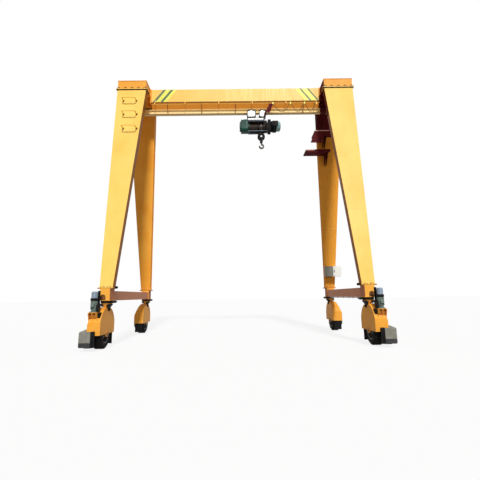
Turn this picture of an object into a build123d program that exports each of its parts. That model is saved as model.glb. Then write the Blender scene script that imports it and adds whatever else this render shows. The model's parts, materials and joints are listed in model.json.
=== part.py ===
"""Rubber tyred gantry crane: a single box girder on two A-shaped leg pairs, four steered wheels.

Origin on the ground under the middle of the machine. X runs along the girder, Y along the
travel direction (the -Y side is the front), Z points up. All sizes in millimetres.
"""

import os
from math import cos, radians, sin, tan

from build123d import *

os.makedirs("parts", exist_ok=True)

# driving dimensions
half_span = 4500.0  # kingpin of a wheel unit from the middle, along the girder
half_base = 2400.0  # kingpin from the middle, along the travel direction
run_fit = 0.05  # radial clearance of a turning shaft in its bearing
gap_free = 8.0  # clearance of a moving piece from what it passes

# wheel unit
axle_z = 470.0
tyre_r = 470.0
tyre_w = 330.0
tyre_sides = 56  # flats round the tyre
rim_r = 285.0
wheel_off = 141.0  # tyre's middle plane outboard of the kingpin
axle_r = 38.0
fork_in_x = -67.0  # inner cheek's outer face, from the kingpin
fork_out_x = 349.0  # outer cheek's outer face
fork_half_len = 606.0
fork_low_z = 492.0
fork_curve_z = 905.0  # where the straight front and back turn into the crown's curve
fork_mid = (450.0, 1190.0)  # a point of the crown's curve
crown_half_len = 120.0
crown_z = 1372.0
lean_z = 850.0  # the outer cheek leans inwards above this height
lean_top_x = 190.0
box_top_half = 500.0  # the wheel box under the crown's curve, to each side of the kingpin
plate_t = 14.0
boss_r = 82.0
boss_t = 30.0
drum_hub_r = 250.0  # brake drum outside the outer cheek of a free wheel
drum_hub_w = 118.0

# slewing ring and neck
ring_z0 = 1506.0
ring_z1 = 1592.0
ring_r = 195.0
ring_bore_r = 120.0
neck_flange_t = 20.0
neck_flange_r = 182.0
neck_low_r = 78.0

# drive of the two front units
motor_x_off = 190.0  # motor axis outboard of the kingpin
motor_y = -548.0  # motor axis ahead of the kingpin
motor_r = 108.0
shelf_z = 1225.0
shelf_t = 18.0
motor_top_z = 1900.0
case_x0 = 186.0
case_x1 = 552.0
case_y0 = -712.0
case_z0 = 118.0
case_z1 = 618.0

# sills and columns
col_w = 342.0
col_l = 418.0
col_top_z = 2010.0
sill_w = 290.0
sill_top_z = 1921.0
foot_t = 16.0

# legs
base_flange_t = 35.0
leg_z0 = col_top_z + base_flange_t
leg_z1 = 10611.0
leg_w0 = 450.0
leg_w1 = 1238.0
leg_d = 266.0
leg_top_y = 778.0
leg_plate_t = 14.0
leg_lip = 24.0  # how far the front and back plates stand out past the side webs
top_flange_t = 25.0
head_lip = 40.0  # how far the bolted flanges at the leg's top stand out

# head beams (saddles) and girder
saddle_z0 = leg_z1 + top_flange_t
saddle_z1 = 11035.0
saddle_w = leg_w1 + 20
saddle_l = 2 * (leg_top_y + leg_d / 2 + 10)
saddle_in_x = half_span - saddle_w / 2
end_plate_t = 60.0  # end plate of the head beam with the girder's own end flange
girder_half_w = 250.0
girder_z0 = 10415.0
slope_z = 10143.0
slope_half_w = 85.0
girder_half_len = saddle_in_x - end_plate_t
beam_web_h = 204.0
beam_flange_w = 146.0
beam_flange_t = 24.0
beam_web_t = 16.0
beam_top_t = 18.0
beam_z0 = slope_z - beam_web_h - beam_flange_t
beam_half_len = half_span - 330
stop_t = 24.0
rib_t = 12.0
rib_gap = 1550.0  # spacing of the stiffener ribs
rib_tip_y = 112.0  # how far the ribs reach out at their lower edge
stiff_y = 38.0  # how far the stiffeners of the track beam's web reach out

# trolley and hoist
carriages = ((724.0, 404.0), (1226.0, 312.0))  # middle and width of each carriage plate
tplate_y = 100.0
tplate_t = 12.0
tplate_z0 = beam_z0 - 215
tplate_z1 = beam_z0 + 150
twheel_r = 64.0
twheel_w = 44.0
taxle_r = 18.0
rib_low_z = beam_z0 + beam_flange_t + 2 * twheel_r + 2 * gap_free  # clear of the wheels
rod_z = tplate_z0 + 42
rod_r = 20.0
tie_over = 60.0  # tie bars past the carriage middles
hbeam_z0 = rod_z - 175
hbeam_h = 90.0
drum_x0 = 557.0
drum_x1 = 1290.0
drum_z = 9225.0
drum_r = 155.0
drum_flange_r = 178.0
drum_shaft_r = 40.0
hplate_t = 16.0
hoist_motor_r = 268.0
hook_x = 1148.0
sheave_z = 8790.0
sheave_r = 150.0
cover_r = 168.0
anchor_z = drum_z - 240
rope_x_off = sheave_r - 10  # the falls leave the sheave this far from its middle
block_half_w = 46.0
cross_z = sheave_z - 242
shank_r = 24.0
rope_r = 7.0
throat_r = 58.0
hook_c_z = cross_z - 215

# festoon line
fest_y = -372.0
fest_drop = 188.0  # rail below the girder's lower edge
fest_rail_z = girder_z0 - fest_drop
fest_rail_r = 15.0
fest_cable_r = 15.0
fest_loop = 370.0  # drop of the hanging loops
fest_end_x = girder_half_len - 195
tow_x = 1600.0

# control cabinet on the right rear leg
cab_x = (half_span + 51, half_span + 430)
jbox_x = (half_span - 313, half_span + 50)
jbox_depth = 230.0
cab_z = (2547.0, 3030.0)
cab_depth = 260.0
cab_wall = 6.0
door_t = 24.0
hinge_r = 9.0
hinge_gap = 1.5  # knuckle to the cabinet's side
hinge_pin_r = 5.0
hinge_h = 30.0

lean_run = half_base - leg_top_y
lean_rise = saddle_z0 - leg_z0


def leg_mid_y(z):
    """Distance of a leg's middle line from the machine's middle at height z."""
    return half_base - lean_run * (z - leg_z0) / lean_rise


def leg_width(z):
    """Width of a leg along the girder at height z."""
    return leg_w0 + (leg_w1 - leg_w0) * (z - leg_z0) / (leg_z1 - leg_z0)


def leg_face_plane(sign_y, sign_face):
    """Plane of a leg's front or back face, normal away from the leg."""
    y = sign_y * leg_mid_y(leg_z0) + sign_face * leg_d / 2
    tilt = sign_y * lean_run / lean_rise
    normal = Vector(0, 1, tilt) * sign_face
    return Plane(origin=(0, y, leg_z0), x_dir=(1, 0, 0), z_dir=normal)


def save(builder, name):
    """Label a finished piece and write it."""
    builder.part.label = name
    export_step(builder.part, f"parts/{name}.step")


# corner: side of the machine along X, along Y, and the name of the place
corners = (
    (-1, -1, "front_left"),
    (1, -1, "front_right"),
    (-1, 1, "rear_left"),
    (1, 1, "rear_right"),
)

# main girder
with BuildPart() as main_girder:
    with BuildSketch(Plane.YZ.offset(-girder_half_len)):
        with BuildLine():
            Polyline(
                (-girder_half_w, saddle_z1),
                (-girder_half_w, girder_z0),
                (-slope_half_w, slope_z),
                (slope_half_w, slope_z),
                (girder_half_w, girder_z0),
                (girder_half_w, saddle_z1),
                close=True,
            )
        make_face()
    extrude(amount=2 * girder_half_len)
save(main_girder, "main_girder")

# track beam under the girder: web, running flange and top flange, end stops
web_z0 = beam_z0 + beam_flange_t
web_z1 = slope_z - beam_top_t
with BuildPart() as track_beam:
    with Locations((0, 0, (web_z0 + web_z1) / 2)):
        Box(2 * beam_half_len, beam_web_t, web_z1 - web_z0)
save(track_beam, "track_beam")

with BuildPart() as track_flange:
    with Locations((0, 0, beam_z0 + beam_flange_t / 2)):
        Box(2 * beam_half_len, beam_flange_w, beam_flange_t)
    with Locations((0, 0, slope_z - beam_top_t / 2)):
        Box(2 * beam_half_len, 2 * slope_half_w, beam_top_t)
save(track_flange, "track_flange")

with BuildPart() as track_stops:
    for side in (-1, 1):
        with Locations((side * (beam_half_len + stop_t / 2), 0, (beam_z0 + slope_z) / 2)):
            Box(stop_t, beam_flange_w + 20, slope_z - beam_z0)
save(track_stops, "track_stops")

# girder ribs, each with the stiffener of the web under it
with BuildPart() as girder_ribs:
    for rib_x in (rib_gap * n for n in (-2, -1, 0, 1, 2)):
        for side in (-1, 1):
            with BuildSketch(Plane.YZ.offset(rib_x - rib_t / 2)):
                with BuildLine():
                    Polyline(
                        (side * girder_half_w, girder_z0),
                        (side * slope_half_w, slope_z),
                        (side * slope_half_w, web_z1),
                        (side * beam_web_t / 2, web_z1),
                        (side * beam_web_t / 2, web_z0),
                        (side * stiff_y, web_z0),
                        (side * stiff_y, rib_low_z),
                        (side * rib_tip_y, rib_low_z),
                        close=True,
                    )
                make_face()
            extrude(amount=rib_t)
save(girder_ribs, "girder_ribs")

# head beams on the legs
for side, saddle_name in ((-1, "saddle_left"), (1, "saddle_right")):
    with BuildPart() as saddle:
        mid_x = side * half_span
        with Locations((mid_x, 0, (saddle_z0 + saddle_z1) / 2)):
            Box(saddle_w - 30, saddle_l - 30, saddle_z1 - saddle_z0)
        with Locations((mid_x, 0, saddle_z1 - 8)):
            Box(saddle_w, saddle_l, 16)
        with Locations((mid_x, 0, saddle_z0 + top_flange_t / 2)):
            Box(leg_w1 + 2 * head_lip, 2 * leg_top_y + leg_d + 2 * head_lip, top_flange_t)
        plate_x = side * (saddle_in_x - end_plate_t / 2)
        with Locations((plate_x, 0, (girder_z0 - 40 + saddle_z1) / 2)):
            Box(end_plate_t, 2 * girder_half_w + 90, saddle_z1 - girder_z0 + 40)
        for gusset_y in (-200.0, 200.0):
            with BuildSketch(Plane.XZ.offset(-gusset_y - 8)):
                with BuildLine():
                    Polyline(
                        (side * saddle_in_x, saddle_z0),
                        (side * (saddle_in_x + 360), saddle_z0),
                        (side * saddle_in_x, girder_z0 - 20),
                        close=True,
                    )
                make_face()
            extrude(amount=16)
    save(saddle, saddle_name)

# legs
for sx, sy, place in corners:
    with BuildPart() as leg:
        # layer of the leg across its depth: offset of its middle, thickness, narrowing
        layers = (
            (0.0, leg_d - 2 * leg_plate_t, 2 * leg_lip),
            (-(leg_d - leg_plate_t) / 2, leg_plate_t, 0.0),
            ((leg_d - leg_plate_t) / 2, leg_plate_t, 0.0),
        )
        for off_y, thick, narrower in layers:
            with BuildSketch(Plane.XY.offset(leg_z0)):
                with Locations((sx * half_span, sy * half_base + off_y)):
                    Rectangle(leg_w0 - narrower, thick)
            with BuildSketch(Plane.XY.offset(leg_z1)):
                with Locations((sx * half_span, sy * leg_mid_y(leg_z1) + off_y)):
                    Rectangle(leg_w1 - narrower, thick)
            loft()
        with Locations((sx * half_span, sy * half_base, col_top_z + base_flange_t / 2)):
            Box(leg_w0 + 70, leg_d + 130, base_flange_t)
        with Locations((sx * half_span, sy * leg_mid_y(leg_z1), leg_z1 + top_flange_t / 2)):
            Box(leg_w1 + 2 * head_lip, leg_d + 2 * head_lip, top_flange_t)
    save(leg, f"leg_{place}")

# sills with their columns
for side, sill_name in ((-1, "sill_left"), (1, "sill_right")):
    with BuildPart() as sill:
        mid_x = side * half_span
        with Locations((mid_x, 0, (ring_z1 + sill_top_z) / 2)):
            Box(sill_w, 2 * half_base, sill_top_z - ring_z1)
        for end in (-1, 1):
            with Locations((mid_x, end * half_base, (ring_z1 + col_top_z) / 2)):
                Box(col_w, col_l, col_top_z - ring_z1)
            with Locations((mid_x, end * half_base, col_top_z - foot_t / 2)):
                Box(leg_w0 + 70, leg_d + 130, foot_t)
            with Locations((mid_x, end * half_base, ring_z1 + foot_t / 2)):
                Box(col_w + 60, col_l + 30, foot_t)
            # arched hand hole low in the outer end of the column, for the ring's bolts
            hole_plane = Plane.XZ.offset(-end * (half_base + col_l / 2 + 20))
            with BuildSketch(hole_plane):
                with Locations((side * (half_span + 62), ring_z1 + foot_t + 95)):
                    Circle(95)
                with Locations((side * (half_span + 62), ring_z1 + foot_t + 47.5)):
                    Rectangle(190, 95)
            extrude(amount=end * 150, mode=Mode.SUBTRACT)
    save(sill, sill_name)

# wheel units
for sx, sy, place in corners:
    king_x = sx * half_span
    king_y = sy * half_base
    driven = sy < 0

    # slewing drive: ring under the column with its worm housing on the inner side
    with BuildPart() as slew:
        with BuildSketch(Plane.XY.offset(ring_z0)):
            with Locations((king_x, king_y)):
                Circle(ring_r)
                Circle(ring_bore_r, mode=Mode.SUBTRACT)
        extrude(amount=ring_z1 - ring_z0)
        with Locations((king_x - sx * (ring_r + 22), king_y, (ring_z0 + ring_z1) / 2)):
            Box(90, 250, ring_z1 - ring_z0)
        with Locations((king_x - sx * (ring_r + 30), king_y + 190, (ring_z0 + ring_z1) / 2)):
            Cylinder(33, 150, rotation=(90, 0, 0))
        with BuildSketch(Plane.XY.offset(ring_z0)):
            with Locations((king_x, king_y)):
                Circle(ring_bore_r)
        extrude(amount=ring_z1 - ring_z0, mode=Mode.SUBTRACT)
    save(slew, f"slew_drive_{place}")

    # fork: two cheeks and a curved crown, open below for the wheel
    with BuildPart() as fork:
        # side outline through the whole width
        with BuildSketch(Plane.YZ.offset(king_x + sx * fork_in_x)):
            with BuildLine():
                rise_back = Line(
                    (king_y + fork_half_len, fork_low_z),
                    (king_y + fork_half_len, fork_curve_z),
                )
                ThreePointArc(
                    rise_back @ 1,
                    (king_y + fork_mid[0], fork_mid[1]),
                    (king_y + crown_half_len, crown_z),
                )
                Line((king_y + crown_half_len, crown_z), (king_y - crown_half_len, crown_z))
                ThreePointArc(
                    (king_y - crown_half_len, crown_z),
                    (king_y - fork_mid[0], fork_mid[1]),
                    (king_y - fork_half_len, fork_curve_z),
                )
                Line(
                    (king_y - fork_half_len, fork_curve_z),
                    (king_y - fork_half_len, fork_low_z),
                )
                Line((king_y - fork_half_len, fork_low_z), rise_back @ 0)
            make_face()
        extrude(amount=sx * (fork_out_x - fork_in_x))
        # front outline: the outer cheek leans in above the wheel
        with BuildSketch(Plane.XZ.offset(-king_y - fork_half_len)):
            with BuildLine():
                Polyline(
                    (king_x + sx * fork_in_x, fork_low_z),
                    (king_x + sx * fork_out_x, fork_low_z),
                    (king_x + sx * fork_out_x, lean_z),
                    (king_x + sx * lean_top_x, crown_z),
                    (king_x + sx * fork_in_x, crown_z),
                    close=True,
                )
            make_face()
        extrude(amount=2 * fork_half_len, mode=Mode.INTERSECT)
        # wheel box inside: full length below, shorter under the crown's curve
        box_in_x = king_x + sx * (fork_in_x + plate_t)
        box_out_x = king_x + sx * (fork_out_x - plate_t)
        for inner_half, box_outline in (
            (
                fork_half_len - plate_t,
                (
                    (box_in_x, fork_low_z - 20),
                    (box_out_x, fork_low_z - 20),
                    (box_out_x, lean_z - 4),
                    (box_in_x, lean_z - 4),
                ),
            ),
            (
                box_top_half,
                (
                    (box_in_x, lean_z - 4),
                    (box_out_x, lean_z - 4),
                    (box_out_x - sx * 46, lean_z + 140),
                    (box_in_x, lean_z + 140),
                ),
            ),
        ):
            with BuildSketch(Plane.XZ.offset(-king_y - inner_half)):
                with BuildLine():
                    Polyline(*box_outline, close=True)
                make_face()
            extrude(amount=2 * inner_half, mode=Mode.SUBTRACT)
        # axle bosses
        for boss_x0, boss_len in (
            (fork_in_x - 10, boss_t + 10),
            (fork_out_x - boss_t, boss_t + 10),
        ):
            with BuildSketch(Plane.YZ.offset(king_x + sx * boss_x0)):
                with BuildLine():
                    Polyline(
                        (king_y - 150, fork_low_z + 30),
                        (king_y - 52, axle_z - boss_r + 12),
                        (king_y + 52, axle_z - boss_r + 12),
                        (king_y + 150, fork_low_z + 30),
                        (king_y + 70, axle_z + boss_r + 40),
                        (king_y - 70, axle_z + boss_r + 40),
                        close=True,
                    )
                make_face()
            extrude(amount=sx * boss_len)
        # neck: inverted cone with the turning flange and its spigot
        with BuildSketch(Plane.XY.offset(crown_z - 15)):
            with Locations((king_x, king_y)):
                Circle(neck_low_r)
        with BuildSketch(Plane.XY.offset(ring_z0 - neck_flange_t)):
            with Locations((king_x, king_y)):
                Circle(neck_flange_r - 22)
        loft()
        with BuildSketch(Plane.XY.offset(ring_z0 - neck_flange_t)):
            with Locations((king_x, king_y)):
                Circle(neck_flange_r)
        extrude(amount=neck_flange_t)
        with BuildSketch(Plane.XY.offset(ring_z0 - neck_flange_t / 2)):
            with Locations((king_x, king_y)):
                Circle(ring_bore_r - run_fit)
        extrude(amount=ring_z1 - ring_z0)
        # four radial gussets of the neck, V-shaped from the flange to the crown
        for gusset_deg in (45, 135, 225, 315):
            gusset_plane = Plane(
                origin=(king_x, king_y, 0),
                x_dir=(cos(radians(gusset_deg)), sin(radians(gusset_deg)), 0),
                z_dir=(sin(radians(gusset_deg)), -cos(radians(gusset_deg)), 0),
            )
            with BuildSketch(gusset_plane):
                with BuildLine():
                    Polyline(
                        (40, crown_z - 5),
                        (84, crown_z - 5),
                        (neck_flange_r - 6, ring_z0 - neck_flange_t + 4),
                        (40, ring_z0 - neck_flange_t + 4),
                        close=True,
                    )
                make_face()
            extrude(amount=6, both=True)
        if driven:
            # shelf for the drive motor on three scalloped gussets
            shelf_y0 = king_y + motor_y - motor_r - 22
            shelf_y1 = king_y - fork_half_len * 0.58
            shelf_x = king_x + sx * motor_x_off
            with Locations((shelf_x, (shelf_y0 + shelf_y1) / 2, shelf_z - shelf_t / 2)):
                Box(2 * motor_r + 56, shelf_y1 - shelf_y0, shelf_t)
            for rib_off in (-motor_r - 20, 0.0, motor_r + 20):
                with BuildSketch(Plane.YZ.offset(shelf_x + rib_off - 7)):
                    with BuildLine():
                        Polyline(
                            (shelf_y1, shelf_z - shelf_t),
                            (shelf_y0 + 6, shelf_z - shelf_t),
                            (shelf_y0 + 6, shelf_z - 70),
                            (king_y - fork_half_len, fork_curve_z + 70),
                            (king_y - fork_half_len + 10, fork_curve_z - 20),
                            (king_y - fork_half_len + 40, fork_curve_z - 20),
                            (shelf_y1, shelf_z - 60),
                            close=True,
                        )
                    make_face()
                extrude(amount=14)
        # axle bore through both cheeks
        with BuildSketch(Plane.YZ.offset(king_x + sx * (fork_in_x - 30))):
            with Locations((king_y, axle_z)):
                Circle(axle_r + run_fit)
        extrude(amount=sx * (fork_out_x - fork_in_x + 60), mode=Mode.SUBTRACT)
    save(fork, f"fork_{place}")

    # tyre: flat tread, sloping shoulders, side walls, bored for the rim
    tyre_x = king_x + sx * wheel_off
    # plane of the section from the tyre's middle, radius there
    tyre_sections = (
        (-tyre_w / 2, tyre_r - 74),
        (-tyre_w / 2 + 40, tyre_r),
        (tyre_w / 2 - 40, tyre_r),
        (tyre_w / 2, tyre_r - 74),
    )
    # corner radius of the flat-sided ring whose flats lie on the tyre's own radius
    corner = 1 / cos(radians(180 / tyre_sides))
    with BuildPart() as tyre:
        for (x_a, r_a), (x_b, r_b) in zip(tyre_sections[:-1], tyre_sections[1:]):
            for x_s, r_s in ((x_a, r_a), (x_b, r_b)):
                with BuildSketch(Plane.YZ.offset(tyre_x + x_s)):
                    with Locations((king_y, axle_z)):
                        RegularPolygon(
                            r_s * corner, tyre_sides, rotation=180 / tyre_sides
                        )
            loft()
        with BuildSketch(Plane.YZ.offset(tyre_x - tyre_w / 2)):
            with Locations((king_y, axle_z)):
                Circle(rim_r)
        extrude(amount=tyre_w, mode=Mode.SUBTRACT)
    save(tyre, f"tyre_{place}")

    # rim, disc, hub and axle turning together
    with BuildPart() as rim:
        end_in = fork_in_x - 26
        end_out = fork_out_x + (drum_hub_w + 26 if not driven else 60)
        with BuildSketch(Plane.XZ.offset(-king_y)):
            with BuildLine():
                Polyline(
                    (tyre_x - sx * 108, axle_z),
                    (tyre_x - sx * 108, axle_z + 95),
                    (tyre_x - sx * 40, axle_z + 110),
                    (tyre_x - sx * 30, axle_z + rim_r - 40),
                    (tyre_x - sx * (tyre_w / 2 - 22), axle_z + rim_r - 24),
                    (tyre_x - sx * (tyre_w / 2 - 8), axle_z + rim_r),
                    (tyre_x + sx * (tyre_w / 2 - 8), axle_z + rim_r),
                    (tyre_x + sx * (tyre_w / 2 - 22), axle_z + rim_r - 24),
                    (tyre_x + sx * 5, axle_z + rim_r - 40),
                    (tyre_x - sx * 5, axle_z + 120),
                    (tyre_x + sx * 108, axle_z + 95),
                    (tyre_x + sx * 108, axle_z),
                    close=True,
                )
            make_face()
        revolve(axis=Axis((0, king_y, axle_z), (1, 0, 0)))
        with BuildSketch(Plane.YZ.offset(king_x + sx * end_in)):
            with Locations((king_y, axle_z)):
                Circle(axle_r)
        extrude(amount=sx * (end_out - end_in))
        if not driven:
            # brake drum outside the outer cheek of the free wheels, with its hub cap
            with BuildSketch(Plane.XZ.offset(-king_y)):
                drum_x_in = king_x + sx * (fork_out_x + gap_free + 10)
                with BuildLine():
                    Polyline(
                        (drum_x_in, axle_z),
                        (drum_x_in, axle_z + drum_hub_r - 22),
                        (drum_x_in + sx * 14, axle_z + drum_hub_r),
                        (drum_x_in + sx * (drum_hub_w - 40), axle_z + drum_hub_r),
                        (drum_x_in + sx * (drum_hub_w - 18), axle_z + drum_hub_r - 26),
                        (drum_x_in + sx * (drum_hub_w - 18), axle_z + 96),
                        (drum_x_in + sx * drum_hub_w, axle_z + 84),
                        (drum_x_in + sx * drum_hub_w, axle_z),
                        close=True,
                    )
                make_face()
            revolve(axis=Axis((0, king_y, axle_z), (1, 0, 0)))
    save(rim, f"rim_{place}")

    if driven:
        # vertical drive motor on the shelf
        motor_x = king_x + sx * motor_x_off
        motor_axis_y = king_y + motor_y
        with BuildPart() as motor:
            with BuildSketch(Plane.XZ.offset(-motor_axis_y)):
                with BuildLine():
                    Polyline(
                        (motor_x, shelf_z),
                        (motor_x + motor_r + 18, shelf_z),
                        (motor_x + motor_r + 18, shelf_z + 26),
                        (motor_x + motor_r - 18, shelf_z + 40),
                        (motor_x + motor_r - 18, shelf_z + 70),
                        (motor_x + motor_r, shelf_z + 90),
                        (motor_x + motor_r, shelf_z + 370),
                        (motor_x + motor_r + 14, shelf_z + 380),
                        (motor_x + motor_r + 14, shelf_z + 450),
                        (motor_x + motor_r - 8, shelf_z + 462),
                        (motor_x + motor_r - 8, motor_top_z - 46),
                        (motor_x + motor_r - 44, motor_top_z),
                        (motor_x, motor_top_z),
                        close=True,
                    )
                make_face()
            revolve(axis=Axis((motor_x, motor_axis_y, 0), (0, 0, 1)))
            with Locations((motor_x, motor_axis_y - motor_r - 6, shelf_z + 250)):
                Box(96, 70, 110)
        save(motor, f"drive_motor_{place}")

        # gear case outside the outer cheek, over the axle and forward of the fork
        with BuildPart() as case:
            with BuildSketch(Plane.YZ.offset(king_x + sx * (fork_out_x + 10))):
                with BuildLine():
                    nose = Line(
                        (king_y + case_y0, case_z0 + 40),
                        (king_y + case_y0, case_z1 - 30),
                    )
                    Polyline(
                        nose @ 1,
                        (king_y + case_y0 + 30, case_z1),
                        (king_y - 90, axle_z + 200),
                    )
                    ThreePointArc(
                        (king_y - 90, axle_z + 200),
                        (king_y + 215, axle_z),
                        (king_y - 90, axle_z - 200),
                    )
                    Polyline(
                        (king_y - 90, axle_z - 200),
                        (king_y + case_y0 + 90, case_z0),
                        nose @ 0,
                    )
                make_face()
            extrude(amount=sx * (case_x1 - fork_out_x - 10))
            # bevel housing that stands in front of the fork's lower outer corner
            front_gap = king_y - fork_half_len - gap_free / 4
            bevel_x = (case_x0 + fork_out_x + 20) / 2
            with Locations(
                (king_x + sx * bevel_x, (king_y + case_y0 + front_gap) / 2, (case_z0 + case_z1) / 2)
            ):
                Box(
                    fork_out_x + 20 - case_x0,
                    front_gap - king_y - case_y0,
                    case_z1 - case_z0,
                )
            with BuildSketch(Plane.YZ.offset(king_x + sx * fork_out_x)):
                with Locations((king_y, axle_z)):
                    Circle(axle_r + run_fit)
            extrude(amount=sx * 64, mode=Mode.SUBTRACT)
        save(case, f"gear_case_{place}")

# steps on the front left leg
step_face = leg_face_plane(-1, -1)
step_half_w = 275.0
step_bar = 32.0
# height, reach from the leg's face, middle of the step from the leg's middle line
steps = (
    (10000.0, 255.0, -14.0),
    (9300.0, 265.0, 60.0),
    (8575.0, 275.0, 128.0),
)
with BuildPart() as leg_steps:
    for step_z, step_reach, step_x in steps:
        face_y = -leg_mid_y(step_z) - leg_d / 2
        mid_x = -half_span + step_x
        with BuildSketch(Plane.XY.offset(step_z - step_bar / 2)):
            with BuildLine():
                FilletPolyline(
                    (mid_x - step_half_w, face_y + 40),
                    (mid_x - step_half_w, face_y - step_reach),
                    (mid_x + step_half_w, face_y - step_reach),
                    (mid_x + step_half_w, face_y + 40),
                    radius=60,
                )
                offset(amount=step_bar / 2, side=Side.BOTH, closed=True)
            make_face()
        extrude(amount=step_bar)
    split(bisect_by=step_face, keep=Keep.TOP)
save(leg_steps, "leg_steps")

# platforms at the right rear leg
rear_face = leg_face_plane(1, -1)
deck_t = 46.0
skirt_t = 8.0
# name, deck height, deck's two ends inboard of the leg's middle line, reach from the leg
decks = (
    ("platform_upper", 9176.0, 847.0, 175.0, 720.0),
    ("platform_lower", 8345.0, 1250.0, 110.0, 650.0),
)
for deck_name, deck_z, inboard_far, inboard_near, deck_reach in decks:
    with BuildPart() as deck:
        deck_x0 = half_span - inboard_far
        deck_x1 = half_span - inboard_near
        deck_y0 = leg_mid_y(deck_z) - leg_d / 2 - deck_reach
        deck_y1 = leg_mid_y(deck_z) - leg_d / 2 + 30
        with Locations(((deck_x0 + deck_x1) / 2, (deck_y0 + deck_y1) / 2, deck_z)):
            Box(deck_x1 - deck_x0, deck_y1 - deck_y0, deck_t)
        # knee braces under the deck against the leg's face
        for brace_x in (deck_x1 - 130, deck_x1 - 40):
            with BuildSketch(Plane.YZ.offset(brace_x - 6)):
                with BuildLine():
                    Polyline(
                        (deck_y1 - 430, deck_z - deck_t / 2),
                        (deck_y1 + 60, deck_z - deck_t / 2),
                        (deck_y1 + 130, deck_z - 520),
                        (deck_y1 + 40, deck_z - 520),
                        close=True,
                    )
                make_face()
            extrude(amount=12)
        # skirt plate under the upper deck's front edge, cut at a slant
        if deck_name == "platform_upper":
            with BuildSketch(Plane.XZ.offset(-deck_y0 - skirt_t)):
                with BuildLine():
                    Polyline(
                        (deck_x0 + 8, deck_z),
                        (deck_x0 - 222, deck_z - 585),
                        (deck_x0 + 248, deck_z - 595),
                        (deck_x0 + 408, deck_z - 315),
                        (deck_x0 + 408, deck_z),
                        close=True,
                    )
                make_face()
            extrude(amount=skirt_t)
        split(bisect_by=rear_face, keep=Keep.TOP)
    save(deck, deck_name)

# primed cover plate on the right rear leg, from the upper deck to the head beam
panel_t = 12.0
panel_near = 200.0  # its plumb edge, inboard of the leg's middle line
slant = (1 + (lean_run / lean_rise) ** 2) ** 0.5  # length along the leg's face for each mm of height
with BuildPart() as platform_panel:
    with BuildSketch(rear_face):
        with BuildLine():
            panel_z0 = decks[0][1] + deck_t
            panel_z1 = leg_z1 - 40
            Polyline(
                (half_span - leg_width(panel_z0) / 2 + 8, (panel_z0 - leg_z0) * slant),
                (half_span - panel_near, (panel_z0 - leg_z0) * slant),
                (half_span - panel_near, (panel_z1 - leg_z0) * slant),
                (half_span - leg_width(panel_z1) / 2 + 8, (panel_z1 - leg_z0) * slant),
                close=True,
            )
        make_face()
    extrude(amount=panel_t)
save(platform_panel, "platform_panel")

# control cabinet, and the junction box beside it on the same rails
cab_back_y = leg_mid_y(cab_z[1]) - leg_d / 2 - 40
cab_front_y = cab_back_y - cab_depth
cab_mid_x = (cab_x[0] + cab_x[1]) / 2
cab_mid_z = (cab_z[0] + cab_z[1]) / 2
cab_w = cab_x[1] - cab_x[0]
cab_h = cab_z[1] - cab_z[0]
hinge_x = cab_x[1] + hinge_r + hinge_gap
hinge_zs = (cab_mid_z - 150, cab_mid_z + 150)
with BuildPart() as control_cabinet:
    with Locations((cab_mid_x, (cab_front_y + cab_back_y) / 2, cab_mid_z)):
        Box(cab_w, cab_depth, cab_h)
    with Locations((cab_mid_x, (cab_front_y + cab_back_y) / 2 - cab_wall, cab_mid_z)):
        Box(cab_w - 2 * cab_wall, cab_depth, cab_h - 2 * cab_wall, mode=Mode.SUBTRACT)
    for rail_z in (cab_z[0] + 70, cab_z[1] - 70):
        with Locations((half_span, cab_back_y + 60, rail_z)):
            Box(leg_w0 - 60, 120, 40)
    # lower knuckle of each hinge with its pin, on a leaf at the cabinet's side
    for hinge_z in hinge_zs:
        with Locations(((cab_x[1] + hinge_x) / 2, cab_front_y + 14, hinge_z - hinge_h / 2)):
            Box(hinge_x - cab_x[1], 28, hinge_h)
        with Locations((hinge_x, cab_front_y, hinge_z - hinge_h / 2)):
            Cylinder(hinge_r, hinge_h)
        with Locations((hinge_x, cab_front_y, hinge_z + hinge_h / 2)):
            Cylinder(hinge_pin_r, hinge_h)
    split(bisect_by=rear_face, keep=Keep.TOP)
save(control_cabinet, "control_cabinet")

with BuildPart() as junction_box:
    jbox_w = jbox_x[1] - jbox_x[0]
    jbox_mid_x = (jbox_x[0] + jbox_x[1]) / 2
    with Locations((jbox_mid_x, cab_back_y - jbox_depth / 2, cab_mid_z)):
        Box(jbox_w - 16, jbox_depth, cab_h - 16)
    with Locations((jbox_mid_x, cab_back_y - jbox_depth, cab_mid_z)):
        Box(jbox_w, 20, cab_h)
save(junction_box, "junction_box")

with BuildPart() as cabinet_door:
    with Locations((cab_mid_x, cab_front_y - door_t / 2, cab_mid_z)):
        Box(cab_w, door_t, cab_h)
    with Locations((cab_mid_x, cab_front_y, cab_mid_z)):
        Box(cab_w - 40, 2 * (door_t - 4), cab_h - 40, mode=Mode.SUBTRACT)
    # upper knuckle of each hinge, bored for the pin
    for hinge_z in hinge_zs:
        with Locations(((cab_x[1] + hinge_x) / 2, cab_front_y - 12, hinge_z + hinge_h / 2 + 1)):
            Box(hinge_x - cab_x[1], 20, hinge_h)
        with Locations((hinge_x, cab_front_y, hinge_z + hinge_h / 2 + 1)):
            Cylinder(hinge_r, hinge_h)
            Cylinder(hinge_pin_r + run_fit, hinge_h + 4, mode=Mode.SUBTRACT)
save(cabinet_door, "cabinet_door")

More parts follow.
